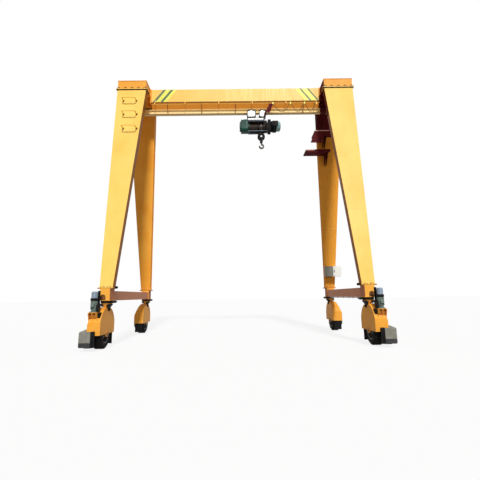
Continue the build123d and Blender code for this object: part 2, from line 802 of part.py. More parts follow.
# conduit along the right sill
pipe_r = 15.0
pipe_half_len = half_base - col_l / 2 - 200
pipe_x = half_span - sill_w / 2 + 45
pipe_z = ring_z1 - pipe_r - 8
with BuildPart() as cable_conduit:
    with BuildSketch(Plane.XZ.offset(pipe_half_len)):
        with Locations((pipe_x, pipe_z)):
            Circle(pipe_r)
    extrude(amount=-2 * pipe_half_len)
    # clips, as shares of the pipe's half length
    for clip_share in (-0.84, -0.6, -0.37, 0.0, 0.37, 0.74):
        with Locations((pipe_x, clip_share * pipe_half_len, pipe_z)):
            Box(2 * pipe_r + 16, 44, 2 * pipe_r + 16)
save(cable_conduit, "cable_conduit")

# festoon rail and cable
with BuildPart() as festoon_rail:
    rail_half = girder_half_len - 20
    with BuildSketch(Plane.YZ.offset(-rail_half)):
        with Locations((fest_y, fest_rail_z)):
            Circle(fest_rail_r)
    extrude(amount=2 * rail_half)
    # brackets, as shares of the rail's half length
    for bracket_share in (-0.96, -0.6, -0.2, 0.2, 0.6, 0.96):
        bracket_x = bracket_share * rail_half
        with BuildSketch(Plane.YZ.offset(bracket_x - 20)):
            with BuildLine():
                Polyline(
                    (-girder_half_w, girder_z0 + 90),
                    (-girder_half_w - 8, girder_z0 + 90),
                    (-girder_half_w - 8, girder_z0 + 20),
                    (fest_y - 6, fest_rail_z + 60),
                    (fest_y - 6, fest_rail_z),
                    (fest_y + 6, fest_rail_z),
                    (fest_y + 6, fest_rail_z + 54),
                    (-girder_half_w, girder_z0 + 4),
                    close=True,
                )
            make_face()
        extrude(amount=40)
save(festoon_rail, "festoon_rail")

# fixed clamp at the end of the line
with BuildPart() as cable_clamp:
    with Locations((fest_end_x + 30, fest_y, fest_rail_z - fest_rail_r - 35)):
        Box(60, 50, 70)
save(cable_clamp, "cable_clamp")

cable_z = fest_rail_z - fest_rail_r - fest_cable_r - 22
# high points of the hanging line, from the tow arm to the fixed end
fest_tops = (tow_x + 60, 2477.0, 3108.0, fest_end_x)
# points of one loop: share of its span, share of its drop
loop_points = ((0.10, 0.16), (0.24, 0.70), (0.40, 0.98), (0.60, 0.98), (0.76, 0.70), (0.90, 0.16))
fest_route = [(fest_tops[0], cable_z)]
for left_x, right_x in zip(fest_tops[:-1], fest_tops[1:]):
    x_a = left_x + 28
    x_b = right_x - 28
    fest_route.append((x_a, cable_z))
    fest_route += [(x_a + u * (x_b - x_a), cable_z - w * fest_loop) for u, w in loop_points]
    fest_route.append((x_b, cable_z))
fest_route.append((fest_tops[-1], cable_z))
fest_radii = []
for before, at, after in zip(fest_route[:-2], fest_route[1:-1], fest_route[2:]):
    run_in = Vector(at[0] - before[0], at[1] - before[1])
    run_out = Vector(after[0] - at[0], after[1] - at[1])
    half_turn = radians(run_in.get_angle(run_out) / 2)
    fest_radii.append(0.45 * min(run_in.length, run_out.length) / tan(half_turn))
print("festoon cable radii mm", [round(r) for r in fest_radii])
with BuildPart() as festoon_cable:
    with BuildLine(Plane.XZ.offset(-fest_y)) as fest_line:
        FilletPolyline(*fest_route, radius=fest_radii)
    with BuildSketch(Plane(origin=fest_line.line @ 0, z_dir=fest_line.line % 0)):
        Circle(fest_cable_r)
    sweep(path=fest_line.line)
print("festoon cable length mm", round(fest_line.wire().length))
save(festoon_cable, "festoon_cable")

# trolley
wheel_z = beam_z0 + beam_flange_t + twheel_r + 0.4
with BuildPart() as trolley_frame:
    for mid_x, plate_w in carriages:
        for side in (-1, 1):
            with BuildSketch(Plane.XZ.offset(-side * (tplate_y + tplate_t / 2) - tplate_t / 2)):
                with Locations((mid_x, (tplate_z0 + tplate_z1) / 2)):
                    RectangleRounded(plate_w, tplate_z1 - tplate_z0, 110)
                with Locations((mid_x, wheel_z)):
                    Circle(taxle_r + run_fit, mode=Mode.SUBTRACT)
            extrude(amount=tplate_t)
        with Locations((mid_x, 0, rod_z)):
            Cylinder(rod_r, 2 * (tplate_y + tplate_t + 14), rotation=(90, 0, 0))
    # tie bars joining the two carriages
    for side in (-1, 1):
        with Locations(
            ((carriages[0][0] + carriages[1][0]) / 2, side * (tplate_y + tplate_t + 6), rod_z + 45)
        ):
            Box(carriages[1][0] - carriages[0][0] + 2 * tie_over, 12, 50)
save(trolley_frame, "trolley_frame")

# carriage wheels on stub axles that turn in the plates: place along the girder and side
for mid_x, end_name in ((carriages[0][0], "left"), (carriages[1][0], "right")):
    for side, side_name in ((-1, "front"), (1, "rear")):
        with BuildPart() as trolley_wheel:
            # distance from the middle, radius: wheel, shaft, outer nut
            with BuildSketch(Plane.XY.offset(wheel_z)):
                with BuildLine():
                    Polyline(
                        (mid_x, side * (tplate_y - gap_free - twheel_w)),
                        (mid_x + twheel_r - 10, side * (tplate_y - gap_free - twheel_w)),
                        (mid_x + twheel_r, side * (tplate_y - gap_free - twheel_w + 8)),
                        (mid_x + twheel_r, side * (tplate_y - gap_free)),
                        (mid_x + taxle_r, side * (tplate_y - gap_free)),
                        (mid_x + taxle_r, side * (tplate_y + tplate_t + 2)),
                        (mid_x + 30, side * (tplate_y + tplate_t + 2)),
                        (mid_x + 30, side * (tplate_y + tplate_t + 16)),
                        (mid_x, side * (tplate_y + tplate_t + 16)),
                        close=True,
                    )
                make_face()
            revolve(axis=Axis((mid_x, 0, wheel_z), (0, 1, 0)))
        save(trolley_wheel, f"trolley_wheel_{side_name}_{end_name}")

# hoist
with BuildPart() as hoist_frame:
    # end plates that carry the drum
    for plate_x0 in (drum_x0 - hplate_t, drum_x1):
        with BuildSketch(Plane.YZ.offset(plate_x0)):
            with BuildLine():
                Polyline(
                    (-120, drum_z - 205),
                    (120, drum_z - 205),
                    (215, drum_z - 90),
                    (215, drum_z + 150),
                    (150, hbeam_z0 + 20),
                    (-150, hbeam_z0 + 20),
                    (-215, drum_z + 150),
                    (-215, drum_z - 90),
                    close=True,
                )
            make_face()
        extrude(amount=hplate_t)
    # top beam between the plates
    with Locations(((drum_x0 + drum_x1) / 2, 0, hbeam_z0)):
        Box(
            drum_x1 - drum_x0 + 2 * hplate_t,
            250,
            hbeam_h,
            align=(Align.CENTER, Align.CENTER, Align.MIN),
        )
    # ears around the hanger rods
    for mid_x, plate_w in carriages:
        for side in (-1, 1):
            with BuildSketch(Plane.XZ.offset(-side * 62 - 10)):
                with Locations((mid_x, (rod_z + hbeam_z0 + hbeam_h - 6) / 2)):
                    Rectangle(110, rod_z - hbeam_z0 - hbeam_h + 6)
                with Locations((mid_x, rod_z)):
                    Circle(55)
                    Circle(rod_r, mode=Mode.SUBTRACT)
            extrude(amount=20)
    # tie rods low between the plates and the rope guide bar
    for side in (-1, 1):
        with Locations(((drum_x0 + drum_x1) / 2, side * (drum_flange_r + 20), drum_z - 60)):
            Cylinder(14, drum_x1 - drum_x0, rotation=(0, 90, 0))
    # anchor of the dead fall
    with Locations((hook_x + rope_x_off, 0, anchor_z)):
        Box(70, 60, drum_z - 190 - anchor_z, align=(Align.CENTER, Align.CENTER, Align.MIN))
    with Locations(((drum_x0 + drum_x1) / 2, 0, drum_z)):
        Cylinder(
            drum_shaft_r + run_fit,
            drum_x1 - drum_x0 + 2 * hplate_t + 4,
            rotation=(0, 90, 0),
            mode=Mode.SUBTRACT,
        )
save(hoist_frame, "hoist_frame")

with BuildPart() as hoist_drum:
    drum_mid = (drum_x0 + drum_x1) / 2
    drum_len = drum_x1 - drum_x0 - 2 * gap_free
    with Locations((drum_mid, 0, drum_z)):
        Cylinder(drum_r, drum_len, rotation=(0, 90, 0))
    for side in (-1, 1):
        with Locations((drum_mid + side * (drum_len / 2 - 10), 0, drum_z)):
            Cylinder(drum_flange_r, 20, rotation=(0, 90, 0))
    with Locations((drum_mid, 0, drum_z)):
        Cylinder(drum_shaft_r, drum_x1 - drum_x0 + 2 * hplate_t, rotation=(0, 90, 0))
save(hoist_drum, "hoist_drum")

with BuildPart() as hoist_gearbox:
    gear_x1 = drum_x0 - hplate_t
    with BuildSketch(Plane.YZ.offset(gear_x1)):
        with Locations((0, drum_z + 70)):
            RectangleRounded(430, 570, 120)
    extrude(amount=-300)
    with BuildSketch(Plane.YZ.offset(gear_x1 - 300)):
        with Locations((0, drum_z + 70)):
            RectangleRounded(330, 420, 100)
    extrude(amount=-55)
save(hoist_gearbox, "hoist_gearbox")

with BuildPart() as hoist_motor:
    motor_x0 = drum_x1 + hplate_t
    with BuildSketch(Plane.XZ):
        with BuildLine():
            Polyline(
                (motor_x0, drum_z + 60),
                (motor_x0, drum_z + 60 + hoist_motor_r - 55),
                (motor_x0 + 60, drum_z + 60 + hoist_motor_r),
                (motor_x0 + 600, drum_z + 60 + hoist_motor_r),
                (motor_x0 + 690, drum_z + 60 + hoist_motor_r - 55),
                (motor_x0 + 730, drum_z + 60 + 90),
                (motor_x0 + 730, drum_z + 60),
                close=True,
            )
        make_face()
    revolve(axis=Axis((0, 0, drum_z + 60), (1, 0, 0)))
save(hoist_motor, "hoist_motor")

# arm that tows the cable line
with BuildPart() as tow_arm:
    arm_x = carriages[1][0] + tie_over + 40
    y_in = -(tplate_y + tplate_t)
    with Locations((arm_x, (y_in + fest_y - 25) / 2, tplate_z0 + 60)):
        Box(70, abs(fest_y - 25 - y_in), 40)
    with BuildSketch(Plane.XZ.offset(-fest_y - 25)):
        with BuildLine():
            Polyline(
                (arm_x - 45, tplate_z0 + 34),
                (arm_x + 55, tplate_z0 + 34),
                (tow_x + 60, cable_z - 90),
                (tow_x + 60, cable_z + 22),
                (tow_x - 50, cable_z + 22),
                close=True,
            )
        make_face()
    extrude(amount=50)
save(tow_arm, "tow_arm")

# rope falls, hook block and hook
with BuildPart() as rope_falls:
    for side in (-1, 1):
        with Locations((hook_x + side * rope_x_off, 0, sheave_z)):
            Cylinder(
                rope_r,
                anchor_z - sheave_z,
                align=(Align.CENTER, Align.CENTER, Align.MIN),
            )
save(rope_falls, "rope_falls")

# the short lead from the falls up to the drum
with BuildPart() as rope_lead:
    with Locations((hook_x - rope_x_off, 0, anchor_z)):
        Cylinder(
            rope_r,
            drum_z - drum_r - 0.3 - anchor_z,
            align=(Align.CENTER, Align.CENTER, Align.MIN),
        )
save(rope_lead, "rope_lead")

with BuildPart() as hook_block:
    for side in (-1, 1):
        with BuildSketch(Plane.XZ.offset(-side * block_half_w - 6)):
            with Locations((hook_x, sheave_z)):
                Circle(cover_r)
            with Locations((hook_x, (sheave_z + cross_z) / 2 - 20)):
                Rectangle(120, sheave_z - cross_z + 40)
            with Locations((hook_x, sheave_z + cover_r)):
                Rectangle(110, 70)
        extrude(amount=12)
    with Locations((hook_x, 0, sheave_z)):
        Cylinder(34, 2 * block_half_w + 40, rotation=(90, 0, 0))
    with Locations((hook_x, 0, cross_z)):
        Box(110, 2 * block_half_w - 12, 84)
    with Locations((hook_x, 0, cross_z)):
        Cylinder(shank_r + run_fit, 90, mode=Mode.SUBTRACT)
save(hook_block, "hook_block")

groove_r = sheave_r - 2 * rope_r - 3 - 0.3
with BuildPart() as hook_sheave:
    with BuildSketch(Plane.YZ.offset(hook_x)):
        with BuildLine():
            Polyline(
                (-block_half_w + 10, sheave_z + 34),
                (-block_half_w + 10, sheave_z + 60),
                (-20, sheave_z + 75),
                (-20, sheave_z + sheave_r),
                (-14, sheave_z + sheave_r),
                (-rope_r, sheave_z + groove_r),
                (rope_r, sheave_z + groove_r),
                (14, sheave_z + sheave_r),
                (20, sheave_z + sheave_r),
                (20, sheave_z + 75),
                (block_half_w - 10, sheave_z + 60),
                (block_half_w - 10, sheave_z + 34),
                close=True,
            )
        make_face()
    revolve(axis=Axis((hook_x, 0, sheave_z), (0, 1, 0)))
save(hook_sheave, "hook_sheave")

with BuildPart() as hook:
    # shank with its nut above the crosshead
    with Locations((hook_x, 0, cross_z - 50)):
        Cylinder(shank_r, 100, align=(Align.CENTER, Align.CENTER, Align.MIN))
    with Locations((hook_x, 0, cross_z + 42)):
        Cylinder(38, 34, align=(Align.CENTER, Align.CENTER, Align.MIN))
    with Locations((hook_x, 0, cross_z - 42)):
        Cylinder(40, 30, align=(Align.CENTER, Align.CENTER, Align.MAX))
    # bill of the hook: a ring open at the upper left, under the shank
    with BuildSketch(Plane.XZ.offset(-28)):
        with Locations((hook_x + 4, hook_c_z - 4)):
            Circle(throat_r + 60)
        with Locations((hook_x, hook_c_z)):
            Circle(throat_r, mode=Mode.SUBTRACT)
        with Locations((hook_x - 76, hook_c_z + 94)):
            Rectangle(140, 130, mode=Mode.SUBTRACT)
        with BuildLine():
            Polyline(
                (hook_x - 24, cross_z - 60),
                (hook_x - 24, hook_c_z + throat_r + 14),
                (hook_x - 8, hook_c_z + throat_r + 2),
                (hook_x + 60, hook_c_z + throat_r + 26),
                (hook_x + 24, cross_z - 60),
                close=True,
            )
        make_face()
    extrude(amount=56)
save(hook, "hook")
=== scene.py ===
"""Finish and fine parts of a rubber tyred gantry crane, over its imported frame.

Metres throughout: X along the girder, Y along the direction of travel, +Z up. Sizes that
the part's solids also have are repeated here under the same names.
"""

import json
import logging
import math
from dataclasses import dataclass, field, replace
from enum import Enum
from typing import Any, Sequence

import bmesh
import bpy
from mathutils import Matrix, Vector

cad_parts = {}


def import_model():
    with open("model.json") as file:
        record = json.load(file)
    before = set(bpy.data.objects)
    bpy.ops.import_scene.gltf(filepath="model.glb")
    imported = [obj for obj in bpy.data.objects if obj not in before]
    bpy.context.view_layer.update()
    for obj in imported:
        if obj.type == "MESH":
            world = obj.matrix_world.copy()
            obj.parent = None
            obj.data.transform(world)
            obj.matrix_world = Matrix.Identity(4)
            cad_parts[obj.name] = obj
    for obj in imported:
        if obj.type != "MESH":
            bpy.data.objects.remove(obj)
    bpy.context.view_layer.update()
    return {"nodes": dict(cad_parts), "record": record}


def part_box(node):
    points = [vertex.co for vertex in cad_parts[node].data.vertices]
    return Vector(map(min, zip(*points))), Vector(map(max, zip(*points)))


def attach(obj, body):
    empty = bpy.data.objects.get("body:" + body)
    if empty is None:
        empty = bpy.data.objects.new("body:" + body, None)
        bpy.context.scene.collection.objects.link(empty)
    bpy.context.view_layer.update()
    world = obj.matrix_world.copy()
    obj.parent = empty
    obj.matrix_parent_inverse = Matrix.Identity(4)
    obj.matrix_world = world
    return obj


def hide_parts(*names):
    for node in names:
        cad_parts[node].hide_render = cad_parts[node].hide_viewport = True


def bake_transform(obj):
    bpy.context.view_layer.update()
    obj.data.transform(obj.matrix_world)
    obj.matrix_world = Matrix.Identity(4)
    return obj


LOG = logging.getLogger("gantry_crane")
SPLIT_BLUR = 0.004  # half the width over which a coat's two colours change
SMALL_HEAD, HEAD, LARGE_HEAD = 0.022, 0.024, 0.026  # widths over the flats of bolt heads
WIDE_BEVEL = 0.004  # bevels from here on have two steps
RIB_SPOTS = range(-2, 3)  # the girder's ribs, in steps from its middle

Point = tuple[float, float, float]
Pair = tuple[float, float]


class Along(Enum):
    """The axis that a round or flat form points along."""

    X = "x"
    Y = "y"
    Z = "z"

    def turn(self) -> Matrix:
        """Matrix that turns +Z onto this axis."""
        if self is Along.X:
            return Matrix.Rotation(math.pi / 2, 4, "Y")
        if self is Along.Y:
            return Matrix.Rotation(-math.pi / 2, 4, "X")
        return Matrix.Identity(4)

    def vector(self) -> Vector:
        """Unit vector of this axis."""
        return self.turn() @ Vector((0.0, 0.0, 1.0))

    def lift(self, a: float, b: float, at: float) -> Vector:
        """Point at (a, b) in the plane across this axis, at a distance along it.

        Args:
            a: first coordinate, the lower-lettered of the two other axes.
            b: second coordinate.
            at: place along this axis.

        Returns:
            The point.
        """
        if self is Along.X:
            return Vector((at, a, b))
        if self is Along.Y:
            return Vector((a, at, b))
        return Vector((a, b, at))


def linear(code: str) -> tuple[float, float, float, float]:
    """Linear colour of an sRGB hex code.

    Args:
        code: six hex digits after a hash sign.

    Returns:
        Red, green, blue and an alpha of 1.
    """
    shares = [int(code[i : i + 2], 16) / 255 for i in (1, 3, 5)]
    red, green, blue = (
        s / 12.92 if s <= 0.04045 else ((s + 0.055) / 1.055) ** 2.4 for s in shares
    )
    return red, green, blue, 1.0


def link(name: str, data: bpy.types.ID) -> bpy.types.Object:
    """Put an object into the scene.

    Args:
        name: its name.
        data: its mesh, curve, camera or light.

    Returns:
        The object.
    """
    made = bpy.data.objects.new(name, data)
    bpy.context.scene.collection.objects.link(made)
    return made


def clear_tree(owner: bpy.types.ID) -> bpy.types.NodeTree:
    """Give a material or world an empty node tree.

    Args:
        owner: the material or world.

    Returns:
        Its tree.
    """
    owner.use_nodes = True
    owner.node_tree.nodes.clear()
    return owner.node_tree


def add_node(
    tree: bpy.types.NodeTree,
    kind: str,
    values: dict[int | str, Any] | None = None,
    links: dict[int | str, bpy.types.NodeSocket] | None = None,
    **settings: Any,
) -> bpy.types.Node:
    """Add one node with its settings, socket values and incoming links.

    Args:
        tree: the tree that it goes into.
        kind: the node's type name.
        values: value of each named or numbered socket.
        links: output socket that feeds each named or numbered socket.
        **settings: the node's own attributes.

    Returns:
        The new node.
    """
    node = tree.nodes.new(kind)
    for key, value in settings.items():
        setattr(node, key, value)
    for key, value in (values or {}).items():
        node.inputs[key].default_value = value
    for key, socket in (links or {}).items():
        tree.links.new(socket, node.inputs[key])
    return node


def noise(
    tree: bpy.types.NodeTree, place: bpy.types.NodeSocket, scale: float, detail: float,
    rough: float,
) -> bpy.types.NodeSocket:
    """Add a noise texture.

    Args:
        tree: the tree that it goes into.
        place: socket of the coordinates.
        scale: cells in a metre.
        detail: octaves.
        rough: weight of the finer octaves.

    Returns:
        Its value's socket.
    """
    values = {"Scale": scale, "Detail": detail, "Roughness": rough}
    return add_node(tree, "ShaderNodeTexNoise", values, {"Vector": place}).outputs["Fac"]


def spread(
    tree: bpy.types.NodeTree, value: bpy.types.NodeSocket, low: float, high: float,
    to_low: float = 0.0, to_high: float = 1.0,
) -> bpy.types.NodeSocket:
    """Map a range of values onto another, and hold it at both ends.

    Args:
        tree: the tree that it goes into.
        value: socket of the value.
        low: value that becomes to_low.
        high: value that becomes to_high.
        to_low: result at low.
        to_high: result at high.

    Returns:
        The result's socket.
    """
    values = {"From Min": low, "From Max": high, "To Min": to_low, "To Max": to_high}
    return add_node(tree, "ShaderNodeMapRange", values, {"Value": value}).outputs[0]


def around(count: int, axis: str, spot: Point, phase: float = 0.5) -> list[Vector]:
    """Points spread evenly about an axis through the origin.

    Args:
        count: number of points.
        axis: letter of the axis.
        spot: the point before its turn.
        phase: turn of the first one, as a share of a step.

    Returns:
        The points.
    """
    turns = (2 * math.pi * (i + phase) / count for i in range(count))
    return [Matrix.Rotation(turn, 4, axis) @ Vector(spot) for turn in turns]


@dataclass(frozen=True)
class Coat:
    """A finish: what the surface is made of and how it has aged; some carry painted shade and some a
    painted highlight.

    Attributes:
        name: common name of the real material and how its surface was made.
        slot: the record's material slot that it stands for.
        base: colour of the sound surface.
        aged: colour of its faded or rubbed patches.
        dirt: colour of the runs and dust on it.
        bare: colour under it, where it is chipped or worn.
        rough: roughness of the sound surface.
        metallic: 1 for bare metal.
        patch_mm: size of the faded patches.
        grain_mm: spacing of the surface's own texture.
        depth_mm: height of that texture.
        streaks: how strongly water has run down it.
        wear: share of it that is chipped.
        shine: strength of its mirror-like reflection; chalked and dusty ones have less.
        splash: height above the ground to which mud has dried on it, 0 for none.
        split: place below which another colour shows, 0 for none.
        split_axis: axis that the place is measured along; along Y, either way from the middle.
        lower: that other colour.
    """

    name: str
    slot: str
    base: str
    aged: str
    dirt: str
    bare: str
    rough: float
    metallic: float = 0.0
    patch_mm: float = 900.0
    grain_mm: float = 6.0
    depth_mm: float = 0.2
    streaks: float = 0.2
    wear: float = 0.02
    shine: float = 0.5
    splash: float = 0.0
    split: float = 0.0
    split_axis: Along = Along.Z
    lower: str = "#1C1C1E"

    def material(self) -> bpy.types.Material:
        """The material, made the first time that it is asked for.

        Returns:
            The node material.
        """
        known = bpy.data.materials.get(self.name)
        if known is not None:
            return known
        made = bpy.data.materials.new(self.name)
        tree = clear_tree(made)
        place = add_node(tree, "ShaderNodeTexCoord").outputs["Object"]
        # noise drawn out along Z, as water runs
        drawn = add_node(tree, "ShaderNodeMapping", {"Scale": (11.0, 11.0, 0.5)}, {"Vector": place})
        runs = noise(tree, drawn.outputs[0], 1.5, 5.0, 0.6)
        dull = spread(
            tree, runs, 0.3, 0.8, max(self.rough - 0.08, 0.05), min(self.rough + 0.18, 1.0)
        )
        relief = add_node(
            tree, "ShaderNodeBump", {"Strength": 0.6, "Distance": self.depth_mm / 1000},
            {"Height": noise(tree, place, 1000 / self.grain_mm, 3.0, 0.6)},
        )  # fmt: skip
        colour = self._colour(tree, place, runs)
        shader = add_node(
            tree, "ShaderNodeBsdfPrincipled",
            {"Metallic": self.metallic, "Specular IOR Level": self.shine},
            {"Base Color": colour, "Roughness": dull, "Normal": relief.outputs[0]},
        )  # fmt: skip
        add_node(tree, "ShaderNodeOutputMaterial", links={"Surface": shader.outputs[0]})
        return made

    def _colour(
        self, tree: bpy.types.NodeTree, place: bpy.types.NodeSocket, runs: bpy.types.NodeSocket
    ) -> bpy.types.NodeSocket:
        """Colour with its faded patches, second colour, dirt, mud and chips.

        Args:
            tree: the material's tree.
            place: socket of the coordinates.
            runs: noise that marks where water has run.

        Returns:
            The colour's socket.
        """
        xyz = add_node(tree, "ShaderNodeSeparateXYZ", links={0: place})
        faded = spread(tree, noise(tree, place, 1000 / self.patch_mm, 4.0, 0.55), 0.38, 0.66)
        colour = self._over(tree, linear(self.base), linear(self.aged), faded)
        if self.split > 0:
            at = xyz.outputs[self.split_axis.name]
            if self.split_axis is Along.Y:
                at = add_node(tree, "ShaderNodeMath", links={0: at}, operation="ABSOLUTE").outputs[0]
            below = spread(tree, at, self.split + SPLIT_BLUR, self.split - SPLIT_BLUR)
            colour = self._over(tree, colour, linear(self.lower), below)
        run_share = spread(tree, runs, 0.5, 0.78, 0.0, self.streaks)
        colour = self._over(tree, colour, linear(self.dirt), run_share)
        if self.splash > 0:
            low = spread(tree, xyz.outputs["Z"], 0.05, self.splash, 0.85, 0.0)
            mud = spread(tree, noise(tree, place, 9.0, 8.0, 0.7), 0.4, 0.75)
            mud_share = add_node(
                tree, "ShaderNodeMath", links={0: low, 1: mud}, operation="MULTIPLY"
            )
            colour = self._over(tree, colour, linear(self.dirt), mud_share.outputs[0])
        # chips are drawn some 20 mm wide, coarser than real ones, so that they show
        chips = noise(tree, place, 24.0, 6.0, 0.72)
        chip_share = spread(tree, chips, 0.70 - 2 * self.wear, 0.74 - 2 * self.wear)
        return self._over(tree, colour, linear(self.bare), chip_share)

    @staticmethod
    def _over(
        tree: bpy.types.NodeTree,
        under: bpy.types.NodeSocket | tuple[float, float, float, float],
        over: tuple[float, float, float, float],
        share: bpy.types.NodeSocket,
    ) -> bpy.types.NodeSocket:
        """Lay one colour over another by a share.

        Args:
            tree: the material's tree.
            under: the colour below, a plain one or a socket.
            over: the colour on top.
            share: how much of the top one shows.

        Returns:
            The mixed colour's socket.
        """
        plain = isinstance(under, tuple)
        mix = add_node(
            tree,
            "ShaderNodeMix",
            {7: over, **({6: under} if plain else {})},
            {0: share, **({} if plain else {6: under})},
            data_type="RGBA",
        )
        return mix.outputs[2]


class Finish(Enum):
    """The crane's finishes."""

    # sprayed alkyd enamel: an even warm yellow that fades lighter, with a soft gloss
    GANTRY = Coat(
        "alkyd_enamel_sprayed_yellow", "crane_paint", "#FED369", "#FBC656", "#B07F3A",
        "#8A4A2A", 0.42, patch_mm=1700, grain_mm=7, depth_mm=0.15, streaks=0.06,
        wear=0.010, shine=0.3,
    )  # fmt: skip
    # the girder's enamel, its sloping under-plates in a deeper orange as painted shade
    GIRDER = replace(
        GANTRY, name="girder_enamel_painted_shade_below", split=10.413, lower="#F29A30",
    )  # fmt: skip
    # the same enamel in a deeper orange on head beams, sills and wheel forks; on the left rear leg it
    # also stands in for the shade on the leg
    DEEP = Coat(
        "alkyd_enamel_sprayed_orange", "crane_paint", "#FDB040", "#F6A232", "#A0703A",
        "#8A4A2A", 0.46, patch_mm=900, grain_mm=7, depth_mm=0.15, streaks=0.12,
        wear=0.012, shine=0.2, splash=0.9,
    )  # fmt: skip
    # columns in fresh enamel, the low beam between them in a dull red-brown as painted shade
    SILL = replace(
        DEEP, name="sill_enamel_painted_shade", base="#FFBA4C", aged="#F9AE42", splash=0.0,
        split=2.185, split_axis=Along.Y, lower="#CC8052",
    )  # fmt: skip
    # tyre rubber: a dull black that dusts grey
    TYRE = Coat(
        "carbon_black_rubber_moulded", "tyre", "#0F0F10", "#191818", "#3C362E",
        "#2C2926", 0.82, patch_mm=160, grain_mm=4, depth_mm=0.6, streaks=0.1,
        wear=0.01, shine=0.12, splash=0.35,
    )  # fmt: skip
    # dark machinery enamel on pressed steel rims
    RIM = Coat(
        "machinery_enamel_dark_grey", "rim_steel", "#3A3C3F", "#4A4A49", "#6A5F50",
        "#6A4A38", 0.5, patch_mm=180, grain_mm=5, depth_mm=0.25, wear=0.04, splash=0.6,
    )  # fmt: skip
    # black enamel over machined steel, rubbed brown where it is handled
    BLACK = Coat(
        "black_enamel_brushed", "black_steel", "#0F0F11", "#1A1817", "#332D26",
        "#5A4C3E", 0.62, patch_mm=220, grain_mm=6, depth_mm=0.3, wear=0.012, shine=0.12,
    )  # fmt: skip
    # hammered enamel on cast housings: grey-green with a fine dimple
    MOTOR = Coat(
        "hammered_enamel_grey_green", "motor_paint", "#78877E", "#626F67", "#363C38",
        "#8A8A84", 0.42, patch_mm=260, grain_mm=9, depth_mm=0.5, streaks=0.3, wear=0.02,
    )  # fmt: skip
    # the hoist's castings: the same hammered enamel in a dark teal
    TEAL = Coat(
        "hammered_enamel_dark_teal", "motor_paint", "#1B4A3F", "#143A33", "#0C1412",
        "#6A6A64", 0.40, patch_mm=260, grain_mm=9, depth_mm=0.5, streaks=0.3, wear=0.012,
        shine=0.15,
    )  # fmt: skip
    # the hoist's pressed cowl in a pale teal
    MINT = Coat(
        "teal_enamel_pressed_sheet", "motor_paint", "#8FB3B4", "#7C9FA0", "#48595A",
        "#77797A", 0.36, patch_mm=240, grain_mm=7, depth_mm=0.2, streaks=0.3, wear=0.015,
    )  # fmt: skip
    # pressed cowls in light grey enamel
    COWL = Coat(
        "grey_enamel_pressed_sheet", "motor_paint", "#8A9BAC", "#788899", "#4C5256",
        "#77797A", 0.40, patch_mm=240, grain_mm=7, depth_mm=0.2, streaks=0.3, wear=0.02,
    )  # fmt: skip
    # cast iron case under grey enamel, black below its joint
    CASE = Coat(
        "cast_iron_grey_enamel", "gear_case_grey", "#8A887E", "#7A7869", "#5E5546",
        "#5A4A3C", 0.55, patch_mm=200, grain_mm=8, depth_mm=0.7, streaks=0.3, wear=0.03,
        split=0.283,
    )  # fmt: skip
    # brushed red oxide primer: a dry dark red
    OXIDE = Coat(
        "red_oxide_primer_brushed", "red_oxide_paint", "#5E1216", "#4A0D12", "#301316",
        "#6B4A40", 0.7, patch_mm=420, grain_mm=8, depth_mm=0.4, streaks=0.2, wear=0.012,
        shine=0.15,
    )  # fmt: skip
    # the right rear leg: dark red primer on its head, darkened also as painted shade under the head
    # beam; below the upper deck a deeper orange enamel, partly painted shade
    LEG_HEAD = replace(
        OXIDE, name="leg_primer_and_painted_shade", split=9.195, lower="#F8A83A",
    )  # fmt: skip
    # the right head beam: enamel, its brackets below in dark red primer that also stands in for shade
    SADDLE = replace(
        DEEP, name="saddle_primer_and_shade_below", splash=0.0, split=10.645, lower="#5E1216",
    )  # fmt: skip
    # the trolley's beam: a paler enamel as a painted highlight on its lit web, its right end in dark
    # red primer that also stands in for shade
    TRACK = replace(
        OXIDE, name="beam_painted_highlight_primer_end", split=3.885, split_axis=Along.X,
        lower="#FFE3A4", streaks=0.05, shine=0.3,
    )  # fmt: skip
    # a step's nosing of primed sheet, pale as a painted highlight along its lit edge
    NOSE = Coat(
        "nosing_primer_painted_highlight", "red_oxide_paint", "#F0C4BA", "#DDAA9E", "#7A5048",
        "#B8B0A8", 0.5, patch_mm=120, grain_mm=5, depth_mm=0.2, streaks=0.3, wear=0.04,
    )  # fmt: skip
    # powder coat: a flat off-white with fine orange peel
    CABINET = Coat(
        "powder_coat_off_white", "cabinet_paint", "#F0F0E8", "#E4E4DA", "#A59C8A",
        "#8C8678", 0.38, patch_mm=380, grain_mm=4, depth_mm=0.12, streaks=0.2, wear=0.008,
    )  # fmt: skip
    # hot-dip zinc: pale grey with large soft spangles
    ZINC = Coat(
        "hot_dip_zinc_spangled", "galvanised", "#BCC0C0", "#A3A8A9", "#6E6C64",
        "#8A7A66", 0.42, metallic=0.75, patch_mm=45, grain_mm=12, depth_mm=0.1,
    )  # fmt: skip
    # neoprene sheath, weathered to a matt brown
    SHEATH = Coat(
        "neoprene_sheath_extruded", "cable_rubber", "#5C4526", "#6A5230", "#7A6A50",
        "#4A4036", 0.7, patch_mm=90, grain_mm=5, depth_mm=0.15, shine=0.3,
    )  # fmt: skip
    # turned steel wheels, polished by the flange they run on
    TURNED = Coat(
        "carbon_steel_turned", "wheel_steel", "#A5A199", "#8C877D", "#4C453C",
        "#C8C4BC", 0.34, metallic=1.0, patch_mm=60, grain_mm=2, depth_mm=0.05,
    )  # fmt: skip
    # white enamel on the carriage plates
    PLATE = Coat(
        "white_enamel_sprayed", "trolley_paint", "#EEF1ED", "#E0E4E0", "#8C8A80",
        "#6A665C", 0.36, patch_mm=300, grain_mm=6, depth_mm=0.15, streaks=0.15, wear=0.01,
    )  # fmt: skip
    # drum barrel under old grease
    DRUM = Coat(
        "greased_steel_turned", "drum_steel", "#382D26", "#463A30", "#1E1814",
        "#6E6458", 0.6, patch_mm=90, grain_mm=4, depth_mm=0.2, shine=0.12,
    )  # fmt: skip
